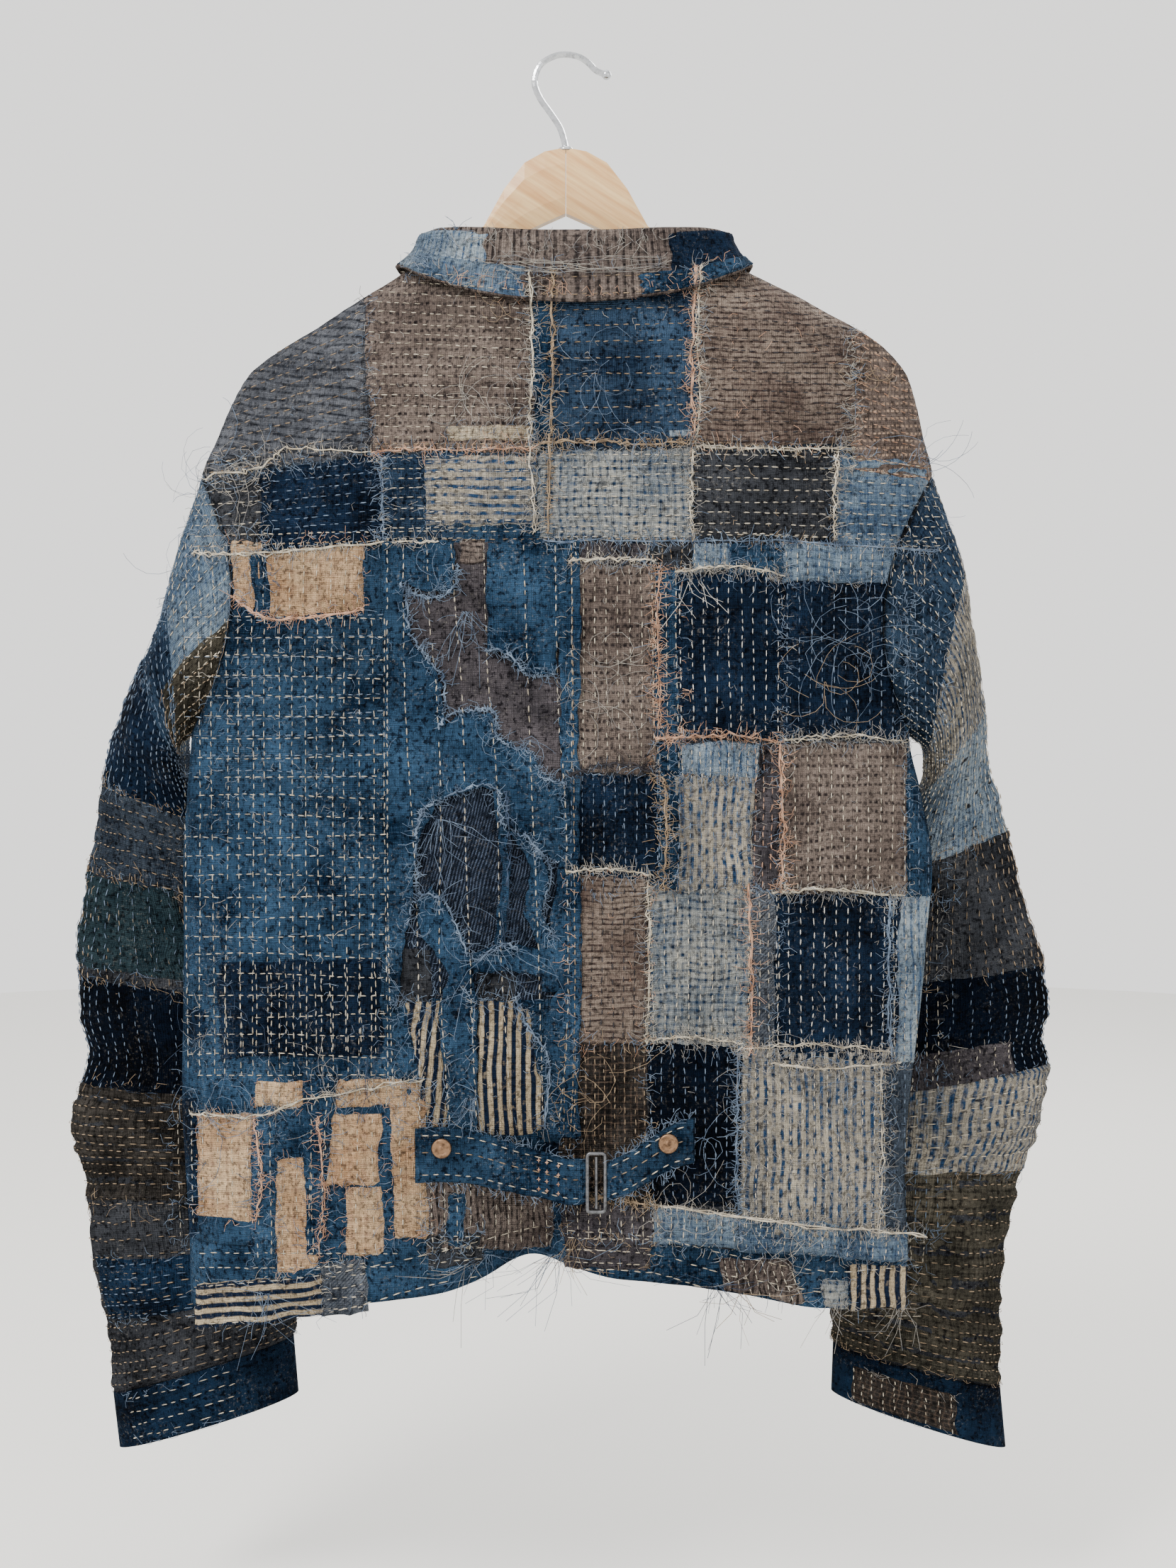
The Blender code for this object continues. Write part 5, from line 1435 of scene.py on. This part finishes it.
# Sleeves: cloth, first and last station, degrees from and to, layer, lean, rows, fray
LEFT_SLEEVE_PATCHES = [
    ("faded_blue", 0.05, 1.6, -180, 180, 1, 0.0, ("along", 0.011, "cream"), "blue"),
    ("olive", 0.1, 1.9, 95, 175, 2, 0.0, ("along", 0.01, "tan"), "tan"),
    ("slate_blue", 1.5, 2.6, -180, 180, 1, 0.0, ("round", 0.008, "blue"), "blue"),
    ("navy", 2.4, 4.0, -180, 180, 2, 0.1, ("along", 0.009, "blue"), "blue"),
    ("slate", 3.9, 5.2, -180, 180, 1, 0.0, ("round", 0.009, "tan"), "tan"),
    ("teal", 5.1, 6.3, -30, 95, 3, 0.0, ("along", 0.01, "blue"), "blue"),
    ("charcoal", 5.0, 6.5, -180, 180, 1, 0.0, ("along", 0.009, "tan"), "tan"),
    ("deep_navy", 6.4, 8.2, -180, 180, 2, 0.15, ("along", 0.009, "blue"), "indigo"),
    ("smock", 8.1, 10.3, -180, 180, 1, 0.0, ("round", 0.008, "tan"), "tan"),
    ("charcoal", 10.2, 12.95, -180, 180, 2, 0.1, ("round", 0.009, "tan"), "dark"),
    ("indigo_dark", 10.9, 11.8, 20, 120, 3, 0.1, ("round", 0.009, "blue"), "blue"),
]
RIGHT_SLEEVE_PATCHES = [
    ("slate_blue", 0.05, 1.5, -180, 180, 1, 0.0, ("along", 0.01, "cream"), "blue"),
    ("blue_stripe", 1.4, 3.0, -180, 180, 2, 0.0, ("along", 0.012, "cream"), "cream"),
    ("light_blue", 2.9, 4.7, -180, 180, 1, 0.0, ("along", 0.011, "cream"), "blue"),
    ("charcoal", 4.6, 6.3, -180, 180, 2, 0.1, ("along", 0.009, "tan"), "tan"),
    ("deep_navy", 6.2, 8.15, -180, 180, 1, 0.1, ("along", 0.009, "blue"), "indigo"),
    ("taupe_grey", 7.5, 8.2, 50, 150, 3, 0.1, ("along", 0.009, "cream"), "cream"),
    ("blue_stripe", 8.1, 9.9, -180, 180, 2, 0.0, ("round", 0.01, "cream"), "blue"),
    ("olive", 9.8, 12.95, -180, 180, 1, 0.0, ("round", 0.008, "tan"), "tan"),
]
CUFF_PATCHES = {
    "cuff_left": [("indigo_dark", 0.04, 0.96, 40, 110, 1, 0.0, ("round", 0.01, "cream"), "blue")],
    "cuff_right": [("dark_brown", 0.25, 0.96, 70, 140, 2, 0.0, ("along", 0.008, "cream"), "cream")],
}
# Collar: cloth, share round from one end to the other, share across, layer
COLLAR_PATCHES = [
    ("slate_blue", 0.01, 0.27, 0.5, 0.99, 1),
    ("light_blue", 0.25, 0.42, 0.46, 0.99, 2),
    ("taupe_fine", 0.4, 0.6, 0.44, 0.99, 1),
    ("navy", 0.585, 0.73, 0.46, 0.99, 2),
    ("charcoal", 0.72, 0.99, 0.5, 0.99, 1),
    ("faded_blue", 0.3, 0.46, 0.72, 0.995, 3),
    ("indigo", 0.55, 0.76, 0.8, 0.995, 3),
]
# The fronts, in metres: cloth, box from upper left to lower right, layer, rows, fray
FRONT_PATCHES = [
    ("slate_blue", (-0.2, -0.215, -0.04, -0.33), 1, ("across", 22, "cream"), "blue"),
    ("navy", (-0.215, -0.335, -0.045, -0.49), 1, ("across", 24, "cream"), "blue"),
    ("small_check", (-0.12, -0.43, -0.05, -0.54), 2, ("down", 20, "cream"), "cream"),
    ("charcoal", (-0.226, -0.5, -0.055, -0.7), 1, ("down", 24, "cream"), "tan"),
    ("taupe", (0.02, -0.215, 0.19, -0.335), 1, ("across", 22, "cream"), "cream"),
    ("indigo_dark", (0.02, -0.345, 0.19, -0.52), 1, ("down", 24, "cream"), "blue"),
    ("faded_blue", (0.06, -0.52, 0.2, -0.64), 1, ("down", 24, "cream"), "cream"),
    ("navy", (0.025, -0.61, 0.12, -0.705), 2, ("across", 22, "cream"), "blue"),
]


def patch_on_collar(kind, first, last, low, high, layer):
    across, down = round((last - first) * 230), round((high - low) * 36)

    def at(s, t):
        inside = edge_share(s, t, across, down)
        lift = PATCH_LIFT * layer * inside + 0.0004 * np.sin(s * across / 4 * math.pi) ** 2 * inside
        sway = 0.006 * rumple(t * 5, s * 0 + layer + first * 40)
        face = 1 + 2 * lift / COLLAR_CLOTH
        return collar_point(first + (last - first) * s + sway, low + (high - low) * t, face)

    return sheet_mesh("patch", across, down, at, CLOTHS[kind])


def patchwork():
    """All the patches, and for each panel the piece that they are joined in."""
    made = {}
    for name, table in (
        ("yoke_patches", YOKE_PATCHES),
        ("back_left_patches", LEFT_PATCHES),
        ("back_right_patches", RIGHT_PATCHES),
        ("band_patches", BAND_PATCHES),
    ):
        datas = []
        for number, (kind, place, layer, grain, rows, _) in enumerate(table):
            pitch = rows and (rows[0], rows[1])
            datas.append(patch_on_back(place, CLOTHS[kind], layer, grain, 3.0, pitch, number + 1))
        made[name] = joined(name, datas)
    datas = [
        patch_on_back(place, CLOTHS["indigo"], 5, 0, 3.0, None, number + 60, curl=0.0016, free=True)
        for number, place in enumerate(TORN_REMNANTS)
    ]
    made["torn_layer"] = doubled(joined("torn_layer_cloth", datas), 0.0006)
    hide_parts("torn_layer")
    datas = []
    for number, (kind, (x0, z0, x1, z1), layer, rows, _) in enumerate(FRONT_PATCHES):
        datas.append(patch_on_back((x0, z0, x1, z1), CLOTHS[kind], layer, 0, 3.0, rows[:2], number, front=True))
    made["front_patches"] = joined("front_patches", datas)
    for name, side, table, patches in (
        ("sleeve_left_patches", -1, LEFT_SLEEVE, LEFT_SLEEVE_PATCHES),
        ("sleeve_right_patches", 1, RIGHT_SLEEVE, RIGHT_SLEEVE_PATCHES),
        ("cuff_left_patch", 0, LEFT_CUFF, CUFF_PATCHES["cuff_left"]),
        ("cuff_right_patch", 0, RIGHT_CUFF, CUFF_PATCHES["cuff_right"]),
    ):
        datas = []
        for number, (kind, first, last, start, end, layer, lean, rows, fringe) in enumerate(patches):
            tuck = 0.0007 if kind in ("smock", "blue_stripe", "olive") else 0.0003
            datas.append(
                patch_on_sleeve(table, side, first, last, start, end, CLOTHS[kind], layer, number, lean, tuck)
            )
            sleeve_rows(table, side, first, last, start, end, layer, *rows)
            for station in (first, last):
                sleeve_fray(table, side, station, start, end, fringe, round((end - start) * 0.21))
        made[name] = joined(name, datas)
    made["collar_patches"] = joined("collar_patches", [patch_on_collar(*row) for row in COLLAR_PATCHES])
    return made


def sleeve_rows(table, side, first, last, start, end, layer, way, pitch, thread):
    """Running stitches along or round a sleeve's patch."""
    table = numbered(table)
    top = len(table) - 1
    one, two = [], []
    if way == "round":
        rows = max(1, round((last - first) * STATION / pitch))
        for row in range(rows):
            station, degrees = first + (last - first) * (row + 0.5) / rows, start + 2.0
            while degrees < end - 5:
                length = 4.2 * chance.uniform(0.75, 1.2)
                off = chance.gauss(0, 0.01)
                one.append((station + off, degrees))
                two.append((station + off + chance.gauss(0, 0.008), degrees + length))
                degrees += length + 2.2 * chance.uniform(0.6, 1.5)
    else:
        rows = max(1, round((end - start) / (pitch * 1000)))
        for row in range(rows):
            degrees, station = start + (end - start) * (row + 0.5) / rows, first + 0.03
            while station < last - 0.08:
                length = 0.088 * chance.uniform(0.75, 1.2)
                off = chance.gauss(0, 0.5)
                one.append((station, degrees + off))
                two.append((station + length, degrees + off + chance.gauss(0, 0.4)))
                station += length + 0.046 * chance.uniform(0.6, 1.5)
    one, two = np.array(one), np.array(two)
    high = PATCH_LIFT * layer + 0.0006
    ends = []
    for places in (one, two):
        station, angle = np.clip(places[:, 0], 0, top), np.radians(places[:, 1])
        low = tube_point(table, side, station, angle, high, folds=top > 2)
        ends.append((low, tube_point(table, side, station, angle, high + 0.002, folds=top > 2) - low))
    facing = ends[0][1] + ends[1][1]
    facing /= np.linalg.norm(facing, axis=1)[:, None]
    for a, b, n in zip(ends[0][0], ends[1][0], facing):
        if np.linalg.norm(b - a) < 0.02:
            sewn[thread].append((tuple(a), tuple(b), tuple(n), chance.uniform(0.8, 1.2)))


def sleeve_fray(table, side, station, start, end, thread, count):
    """Loose threads from the edge of a sleeve's patch, mostly along the sleeve."""
    table = numbered(table)
    top = len(table) - 1
    for _ in range(count):
        place, degrees = station, chance.uniform(start, end)
        way = chance.choice((-1, 1)) * math.pi / 2 + chance.gauss(0, 0.8)
        length, high = 0.007 * chance.uniform(0.4, 1.8), 0.0016 * chance.uniform(0.3, 1.3)
        turn = chance.gauss(0, 0.5)
        rows = []
        for k in range(5):
            rows.append((min(max(place, 0), top), degrees, 0.001 + high * math.sin(k * 0.7)))
            place += math.sin(way) * length / 4 / STATION
            degrees += math.cos(way) * length / 4 * 1000
            way += turn + chance.gauss(0, 0.3)
        rows = np.array(rows)
        points = tube_point(table, side, rows[:, 0], np.radians(rows[:, 1]), rows[:, 2], folds=top > 2)
        loose[thread].append([Vector(p) for p in points])


# The cinch, the closing and the hanger

LEFT_STRAP = [
    # across, middle height, half height, stand-off
    (-0.09, -0.678, 0.0165, 0.0), (-0.07, -0.678, 0.0165, 0.0), (-0.048, -0.683, 0.016, 0.001),
    (-0.025, -0.691, 0.015, 0.006), (0.000, -0.696, 0.014, 0.01), (0.0132, -0.696, 0.0135, 0.008),
]
RIGHT_STRAP = [
    (0.0248, -0.696, 0.012, 0.006), (0.036, -0.69, 0.0125, 0.004), (0.05, -0.681, 0.013, 0.002),
    (0.064, -0.673, 0.0135, 0.0), (0.078, -0.669, 0.014, 0.0),
]
STRAP_RISE = 0.0034
BUCKLE_X, BUCKLE_Z, BUCKLE_HALF = 0.019, -0.696, 0.0158
STUD_HEAD = [
    # radius, height
    (0.0, 0.0019), (0.0012, 0.0018), (0.002, 0.0011), (0.0034, 0.0011), (0.0042, 0.0019),
    (0.0054, 0.0018), (0.0061, 0.0009), (0.006, -0.0004), (0.0, -0.0004),
]
BUTTON = [
    (0.0, 0.0026), (0.0052, 0.0026), (0.006, 0.0034), (0.0074, 0.0036), (0.0084, 0.0027),
    (0.0085, 0.0012), (0.0074, 0.0), (0.0, 0.0),
]
HOOK_COLLAR = [
    (0.0021, 0.0), (0.0046, 0.0), (0.005, 0.0008), (0.0044, 0.002), (0.0026, 0.003), (0.0021, 0.0032),
]


def metal(name, colour, roughness, tarnish):
    dye = Dye(name, roughness=roughness, metallic=1.0)
    place = dye.node("ShaderNodeTexCoord", out=3)
    stain = dye.noise(place, 300.0, 4.0, 0.6).between(0.45, 0.75)
    dye.give("Base Color", dye.mix(stain, tint(colour), tint(tarnish)))
    dye.give("Roughness", stain * 0.25 + roughness)
    dye.bump(dye.noise(place, 900.0, 2.0), 0.0001, 0.5)
    return dye.material


def strap_face(rows, x, v=0.0):
    """Height and outer face of a strap, with v from -1 at its lower edge to 1."""
    middle, half, off = (curve(rows, c)(x) for c in (1, 2, 3))
    y = np.min([bodice_y(x, middle + half * k) for k in (-1, -0.5, 0, 0.5, 1)], axis=0)
    return middle + half * v, y - STRAP_RISE - off - 0.0006


def strap(name, rows, node):
    def at(s, t):
        x = rows[0][0] + (rows[-1][0] - rows[0][0]) * s
        v = 1 - 2 * t
        z, y = strap_face(rows, x, v)
        edge = np.minimum(1 - np.abs(v), np.minimum(s, 1 - s) * 8)
        y = y - 0.0005 * (1 - (1 - np.clip(edge * 4, 0, 1)) ** 2) - 0.0004 * rumple(x / 0.006, z / 0.006)
        z = z + 0.0006 * rumple(x / 0.008, v * 1.4 + 5)
        return np.stack([x, y, z], 1), np.stack([x, z], 1)

    across = round(abs(rows[-1][0] - rows[0][0]) / 0.0012)
    piece = doubled(thing(name, sheet_mesh(name, across, 24, at, CLOTHS["indigo"], BACKWARD)), 0.0022)
    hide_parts(node)
    return piece


def turned(name, profile, centre, facing, material, steps=28):
    """A round piece spun from its profile of radius and height, set on a face."""
    mesh = bmesh.new()
    points = [mesh.verts.new((radius, 0, high)) for radius, high in profile]
    line = [mesh.edges.new(pair) for pair in zip(points, points[1:])]
    bmesh.ops.spin(
        mesh, geom=points + line, cent=(0, 0, 0), axis=(0, 0, 1), angle=2 * math.pi, steps=steps, use_merge=True
    )
    bmesh.ops.remove_doubles(mesh, verts=list(mesh.verts), dist=1e-6)
    turn = Vector((0, 0, 1)).rotation_difference(Vector(facing)).to_matrix()
    for vertex in mesh.verts:
        vertex.co = turn @ vertex.co + Vector(centre)
    bmesh.ops.recalc_face_normals(mesh, faces=list(mesh.faces))
    data = bpy.data.meshes.new(name)
    mesh.to_mesh(data)
    mesh.free()
    data.polygons.foreach_set("use_smooth", np.ones(len(data.polygons), bool))
    return thing(name, data, material)


def bar(name, points, radius, material, cyclic=False):
    """A round wire through points, as a mesh."""
    shape = bpy.data.curves.new(name, "CURVE")
    shape.dimensions = "3D"
    shape.bevel_depth = radius
    shape.bevel_resolution = 3
    shape.use_fill_caps = not cyclic
    spline = shape.splines.new("POLY")
    spline.points.add(len(points) - 1)
    spline.points.foreach_set("co", [c for p in points for c in (*p, 1.0)])
    spline.use_cyclic_u = cyclic
    holder = bpy.data.objects.new(name, shape)
    bpy.context.scene.collection.objects.link(holder)
    bpy.context.view_layer.update()
    data = bpy.data.meshes.new_from_object(holder.evaluated_get(bpy.context.evaluated_depsgraph_get()))
    bpy.data.objects.remove(holder)
    bpy.data.curves.remove(shape)
    data.polygons.foreach_set("use_smooth", np.ones(len(data.polygons), bool))
    data.materials.clear()
    return thing(name, data, material)


def cinch():
    brass = metal("stud_brass", "8a6d55", 0.38, "3a2a20")
    steel = metal("buckle_steel", "6e6f72", 0.42, "3b3a3a")
    strap("cinch_strap_left_cloth", LEFT_STRAP, "cinch_strap_left")
    strap("cinch_strap_right_cloth", RIGHT_STRAP, "cinch_strap_right")
    for name, rows, x in (("cinch_stud_left", LEFT_STRAP, -0.074), ("cinch_stud_right", RIGHT_STRAP, 0.0622)):
        z, y = strap_face(rows, np.array([x]), 0.25)
        stud = turned(name + "_head", STUD_HEAD, (x, float(y[0]) - 0.0012, float(z[0])), (0, -1, 0), brass)
        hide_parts(name)
    ends = ((LEFT_STRAP, 0.0132), (RIGHT_STRAP, 0.0248))
    y = min(float(strap_face(rows, np.array([x]))[1][0]) for rows, x in ends)
    points = []
    for corner, (sx, sz) in enumerate(((1, 1), (-1, 1), (-1, -1), (1, -1))):
        for step in range(6):
            angle = math.pi / 2 * (corner + step / 5)
            x = BUCKLE_X + sx * 0.0034 + 0.002 * math.cos(angle)
            points.append((x, y - 0.0006, BUCKLE_Z + sz * BUCKLE_HALF + 0.002 * math.sin(angle)))
    buckle = bar("cinch_buckle_loop", points, 0.0012, steel, cyclic=True)
    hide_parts("cinch_buckle")
    middle = [(BUCKLE_X, y - 0.0006, BUCKLE_Z + BUCKLE_HALF * k / 4) for k in range(-4, 5)]
    bar("cinch_buckle_bar", middle, 0.0009, steel)


def closing():
    """The strip along the closing of the fronts, with its buttons."""

    def at(s, t):
        z = -0.205 - 0.507 * t
        left, right = bodice_edges(z)
        x = (left + right) / 2 + 0.016 * (2 * s - 1)
        y = bodice_y((left + right) / 2, z, False) + 0.0026 + 0.0002 * rumple(x / 0.006, z / 0.006)
        return np.stack([x, y, z], 1), np.stack([x, z], 1)

    face = sheet_mesh("band", 14, 190, at, CLOTHS["indigo_dark"], FORWARD)
    strip = doubled(thing("button_band_cloth", face), 0.0018)
    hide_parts("button_band")
    horn = Dye("button_horn", roughness=0.35)
    place = horn.node("ShaderNodeTexCoord", out=3)
    mottle = horn.noise(place, 160.0, 4.0, 0.7).between(0.35, 0.7)
    horn.give("Base Color", horn.mix(mottle, tint("2f231a"), tint("6b5238")))
    for number in range(5):
        low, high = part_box(f"button_{number + 1}")
        centre = ((low[0] + high[0]) / 2, low[1] + 0.0006, (low[2] + high[2]) / 2)
        made = turned(f"button_{number + 1}_horn", BUTTON, centre, (0, 1, 0), horn.material, 36)
        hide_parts(f"button_{number + 1}")
        for side in (-1, 1):
            x, y = centre[0] + side * 0.0016, centre[1] + 0.0028
            sewn["cream"].append(((x, y, centre[2] - 0.0022), (x, y, centre[2] + 0.0022), (0, 1, 0), 1.0))
    return strip


def hanger():
    wood = Dye("hanger_wood", roughness=0.42, Coat_Weight=0.25, Coat_Roughness=0.3)
    place = wood.node("ShaderNodeTexCoord", out=3)
    sloped = wood.node("ShaderNodeMapping", {}, {"Vector": place, "Rotation": (0, math.radians(-33), 0)})
    grain = wood.noise(wood.stretched(sloped, (14, 60, 260)), 1.0, 4.0, 0.6)
    warm = wood.mix(grain.between(0.34, 0.68), tint("e2bd86"), tint("c4925a"))
    knots = wood.noise(place, 22.0, 2.0).between(0.55, 0.75)
    wood.give("Base Color", wood.mix(knots * 0.4, warm, tint("b07f4a")))
    wood.bump(grain, 0.00025, 0.6)
    chrome = metal("hook_chrome", "c9cbce", 0.16, "8d8f93")
    for name, material in (
        ("hanger_arm_left", wood.material), ("hanger_arm_right", wood.material), ("hanger_hook", chrome)
    ):
        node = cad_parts[name]
        node = bpy.data.objects[node] if isinstance(node, str) else node
        node.data.materials.clear()
        node.data.materials.append(material)
    mesh = bmesh.new()
    bmesh.ops.create_uvsphere(mesh, u_segments=24, v_segments=16, radius=0.003)
    bmesh.ops.translate(mesh, verts=list(mesh.verts), vec=(0.0256, 0, -0.0107))
    data = bpy.data.meshes.new("hook_ball")
    mesh.to_mesh(data)
    mesh.free()
    data.polygons.foreach_set("use_smooth", np.ones(len(data.polygons), bool))
    thing("hook_ball", data, chrome)
    turned("hook_collar", HOOK_COLLAR, (0, 0, -0.0585), (0, 0, 1), chrome)


# Light, floor and camera


def camera():
    data = bpy.data.cameras.new("camera")
    data.sensor_fit = "VERTICAL"
    data.sensor_height = 36.0
    data.lens = 36.0 * EYE_REACH / 2000
    made = bpy.data.objects.new("camera", data)
    made.location = EYE
    made.rotation_euler = (math.pi / 2 - EYE_TILT, 0, 0)
    bpy.context.scene.collection.objects.link(made)
    bpy.context.scene.camera = made


def studio():
    world = bpy.data.worlds.new("studio")
    world.use_nodes = True
    world.node_tree.nodes["Background"].inputs[0].default_value = (1.0, 0.99, 0.97, 1)
    world.node_tree.nodes["Background"].inputs[1].default_value = 1.6
    bpy.context.scene.world = world
    for name, place, size, power, colour in (
        ("key", (-1.2, -1.5, 1.1), 0.8, 56, (1.0, 0.98, 0.95)),
        ("fill", (1.7, -1.6, 0.0), 1.6, 4, (0.95, 0.97, 1.0)),
        ("top", (0.1, 0.2, 1.6), 1.4, 10, (1.0, 1.0, 1.0)),
        ("rear", (0.9, 1.6, 0.9), 1.0, 26, (1.0, 0.99, 0.97)),
    ):
        lamp = bpy.data.lights.new(name, "AREA")
        lamp.shape = "DISK"
        lamp.size = size
        lamp.energy = power
        lamp.color = colour
        made = bpy.data.objects.new(name, lamp)
        made.location = place
        made.rotation_euler = (Vector((0, 0, -0.45)) - Vector(place)).to_track_quat("-Z", "Y").to_euler()
        bpy.context.scene.collection.objects.link(made)
    mesh = bmesh.new()
    bmesh.ops.create_circle(mesh, cap_ends=True, segments=64, radius=3.2)
    for vertex in mesh.verts:
        vertex.co.z = -1.02
    data = bpy.data.meshes.new("floor")
    mesh.to_mesh(data)
    mesh.free()
    floor = bpy.data.objects.new("floor", data)
    bpy.context.scene.collection.objects.link(floor)
    dye = Dye("floor", roughness=0.8)
    dye.shader.inputs["Base Color"].default_value = tint("e9e8e4")
    data.materials.append(dye.material)


def needlework(ground):
    """All the sewing and the loose threads that lie on the cloth."""
    for table in (YOKE_PATCHES, LEFT_PATCHES, RIGHT_PATCHES, BAND_PATCHES):
        for _, place, _, _, rows, fringe in table:
            if rows:
                rows_in(ground, place, *rows)
            upper, lower = lines_of(place)
            round_it = [*upper, *reversed(lower), upper[0]]
            if fringe:
                fray(ground, round_it, fringe, round(length_of(round_it) * 0.1), 12)
                fray(ground, round_it, "blue", round(length_of(round_it) * 0.07), 16)
                area = length_of(upper) * math.dist(upper[0], lower[0])
                fuzz(ground, place, fringe, round(area / 1500), 10)
    grid = (228, 775, 500, 1384)
    rows_in(ground, grid, "down", 17, "cream", bend=4)
    rows_in(ground, grid, "across", 25, "cream", bend=4)
    rows_in(ground, (228, 775, 500, 1000), "across", 25, "blue", bend=6)
    rows_in(ground, (215, 1590, 520, 1625), "across", 14, "cream")
    for path, thread, long, gap in SEAM_LINES:
        run_of_stitches(ground, smooth_path(path, 4), thread, long, gap, 1.1)
    for path, thread, count in RAW_EDGES:
        for _ in range(2):
            made = raw_cord(ground, path)
            if made:
                cords[thread].append(made)
        fray(ground, path, thread, count, 16, high=0.0022)
        whip(ground, smooth_path(path, 3), thread, 10, 13)
    fuzz(ground, grid, "blue", 220, 14)
    fuzz(ground, grid, "cream", 160, 12)
    for (x, y), thread, count, long, wide, high in HANGING:
        for _ in range(count):
            down = 90 + math.degrees(chance.gauss(0, wide))
            fray(ground, [(x - 10, y), (x + 10, y)], thread, 1, long, down, 0.6, high)
    for x, y, thread, count, size in TANGLES:
        tangle(ground, x, y, thread, round(count * 0.6), size, 0.003)
    for line, thread in (
        ([(590, 300), (700, 318), (850, 305)], "cream"),
        ([(586, 291), (540, 330), (521, 350)], "blue"),
        ([(560, 362), (750, 378), (940, 350)], "peach"),
    ):
        fray(ground, line, thread, 70, 18, high=0.003)
    for y in (334, 341, 348):
        path = smooth_path([(640, y - 6), (700, y), (780, y + 2), (850, y - 4)], 5)
        for _ in range(3):
            places = [(a + chance.gauss(0, 2.4), b + chance.gauss(0, 3)) for a, b in path]
            made = lay_thread(ground, places, [0.0015 + chance.uniform(0, 0.0025) for _ in path])
            if made:
                loose["cream"].append(made)
    for _, (x0, z0, x1, z1), _, rows, fringe in FRONT_PATCHES:
        rows_in(ground, (x0, z0, x1, z1), *rows, 10, 6, front=True)
        fray(ground, [(x0, z0), (x1, z0), (x1, z1), (x0, z1), (x0, z0)], fringe, 60, 16, front=True)
    for x in (-0.013, 0.013):
        middle = [float(np.sum([e[0] for e in bodice_edges(np.array([z]))]) / 2) for z in (-0.21, -0.7)]
        run_of_stitches(ground, [(middle[0] + x, -0.21), (middle[1] + x, -0.7)], "cream", 8, 5, front=True)
    for z in (-0.752, -0.768):
        run_of_stitches(ground, [(-0.22, z), (0.2, z + 0.004)], "cream", 12, 6, front=True)


def strap_sewing():
    """Dashes of thread, box stitches and frayed edges on the two straps."""
    for rows, first, last in ((LEFT_STRAP, -0.086, 0.01), (RIGHT_STRAP, 0.028, 0.076)):
        for v, thread in ((0.72, "cream"), (-0.72, "cream"), (0.1, "tan")):
            x = first
            while x < last - 0.004:
                long = 0.004 * chance.uniform(0.8, 1.2)
                ends = [strap_face(rows, np.array([k]), v) for k in (x, x + long)]
                places = [(k, float(y[0]) - 0.0006, float(z[0])) for k, (z, y) in zip((x, x + long), ends)]
                sewn[thread].append((*places, (0, -1, 0), 1.1))
                x += long + 0.0024 * chance.uniform(0.8, 1.3)
        for _ in range(90):
            x = chance.uniform(first, last)
            v = chance.choice((-1, 1))
            z, y = (float(k[0]) for k in strap_face(rows, np.array([x]), v))
            way, points = chance.gauss(0, 0.7) + (math.pi / 2) * v, []
            for k in range(5):
                points.append(Vector((x, y - 0.0004 - 0.0004 * k, z)))
                x += math.cos(way) * 0.0016
                z += math.sin(way) * 0.0016
                way += chance.gauss(0, 0.5)
            loose["blue"].append(points)
    for x in (-0.016, -0.011, -0.004):
        for v in (-0.6, -0.2, 0.2, 0.6):
            z, y = (float(k[0]) for k in strap_face(LEFT_STRAP, np.array([x]), v))
            sewn["peach"].append(((x, y - 0.0007, z - 0.0016), (x, y - 0.0007, z + 0.0016), (0, -1, 0), 1.1))
            sewn["peach"].append(((x - 0.0014, y - 0.0008, z), (x + 0.0014, y - 0.0008, z), (0, -1, 0), 1.1))


cords = {name: [] for name in THREADS}


def main():
    camera()
    studio()
    cloths = bodice()
    for node, table, side, around, along, kind, wall in (
        ("sleeve_left", LEFT_SLEEVE, -1, 64, 112, "charcoal", CLOTH),
        ("sleeve_right", RIGHT_SLEEVE, 1, 64, 112, "charcoal", CLOTH),
        ("cuff_left", LEFT_CUFF, 0, 120, 20, "indigo_dark", BAND_CLOTH),
        ("cuff_right", RIGHT_CUFF, 0, 120, 20, "indigo_dark", BAND_CLOTH),
    ):
        cloths[node] = tube(f"{node}_cloth", table, side, around, along, CLOTHS[kind], wall, node)
    collar = doubled(
        thing("collar_cloth", sheet_mesh("collar", 150, 26, collar_point, CLOTHS["taupe_fine"])), COLLAR_CLOTH
    )
    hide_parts("collar")
    cloths["collar"] = collar
    patches = patchwork()
    closing_strip = closing()
    cinch()
    hanger()
    ground = Ground([*cloths.values(), *patches.values(), closing_strip])
    needlework(ground)
    strap_sewing()
    for name, ends in sewn.items():
        if ends:
            stitches(f"stitches_{name.replace('cream', 'ecru')}", ends, name)
    for name, paths in loose.items():
        if paths:
            threads(f"loose_threads_{name.replace('cream', 'ecru')}", paths, {"cream": "frayed"}.get(name, name))
    for name, paths in cords.items():
        if paths:
            threads(f"raw_edges_{name.replace('cream', 'ecru')}", paths, name, RAW_EDGE_RADIUS)


main()
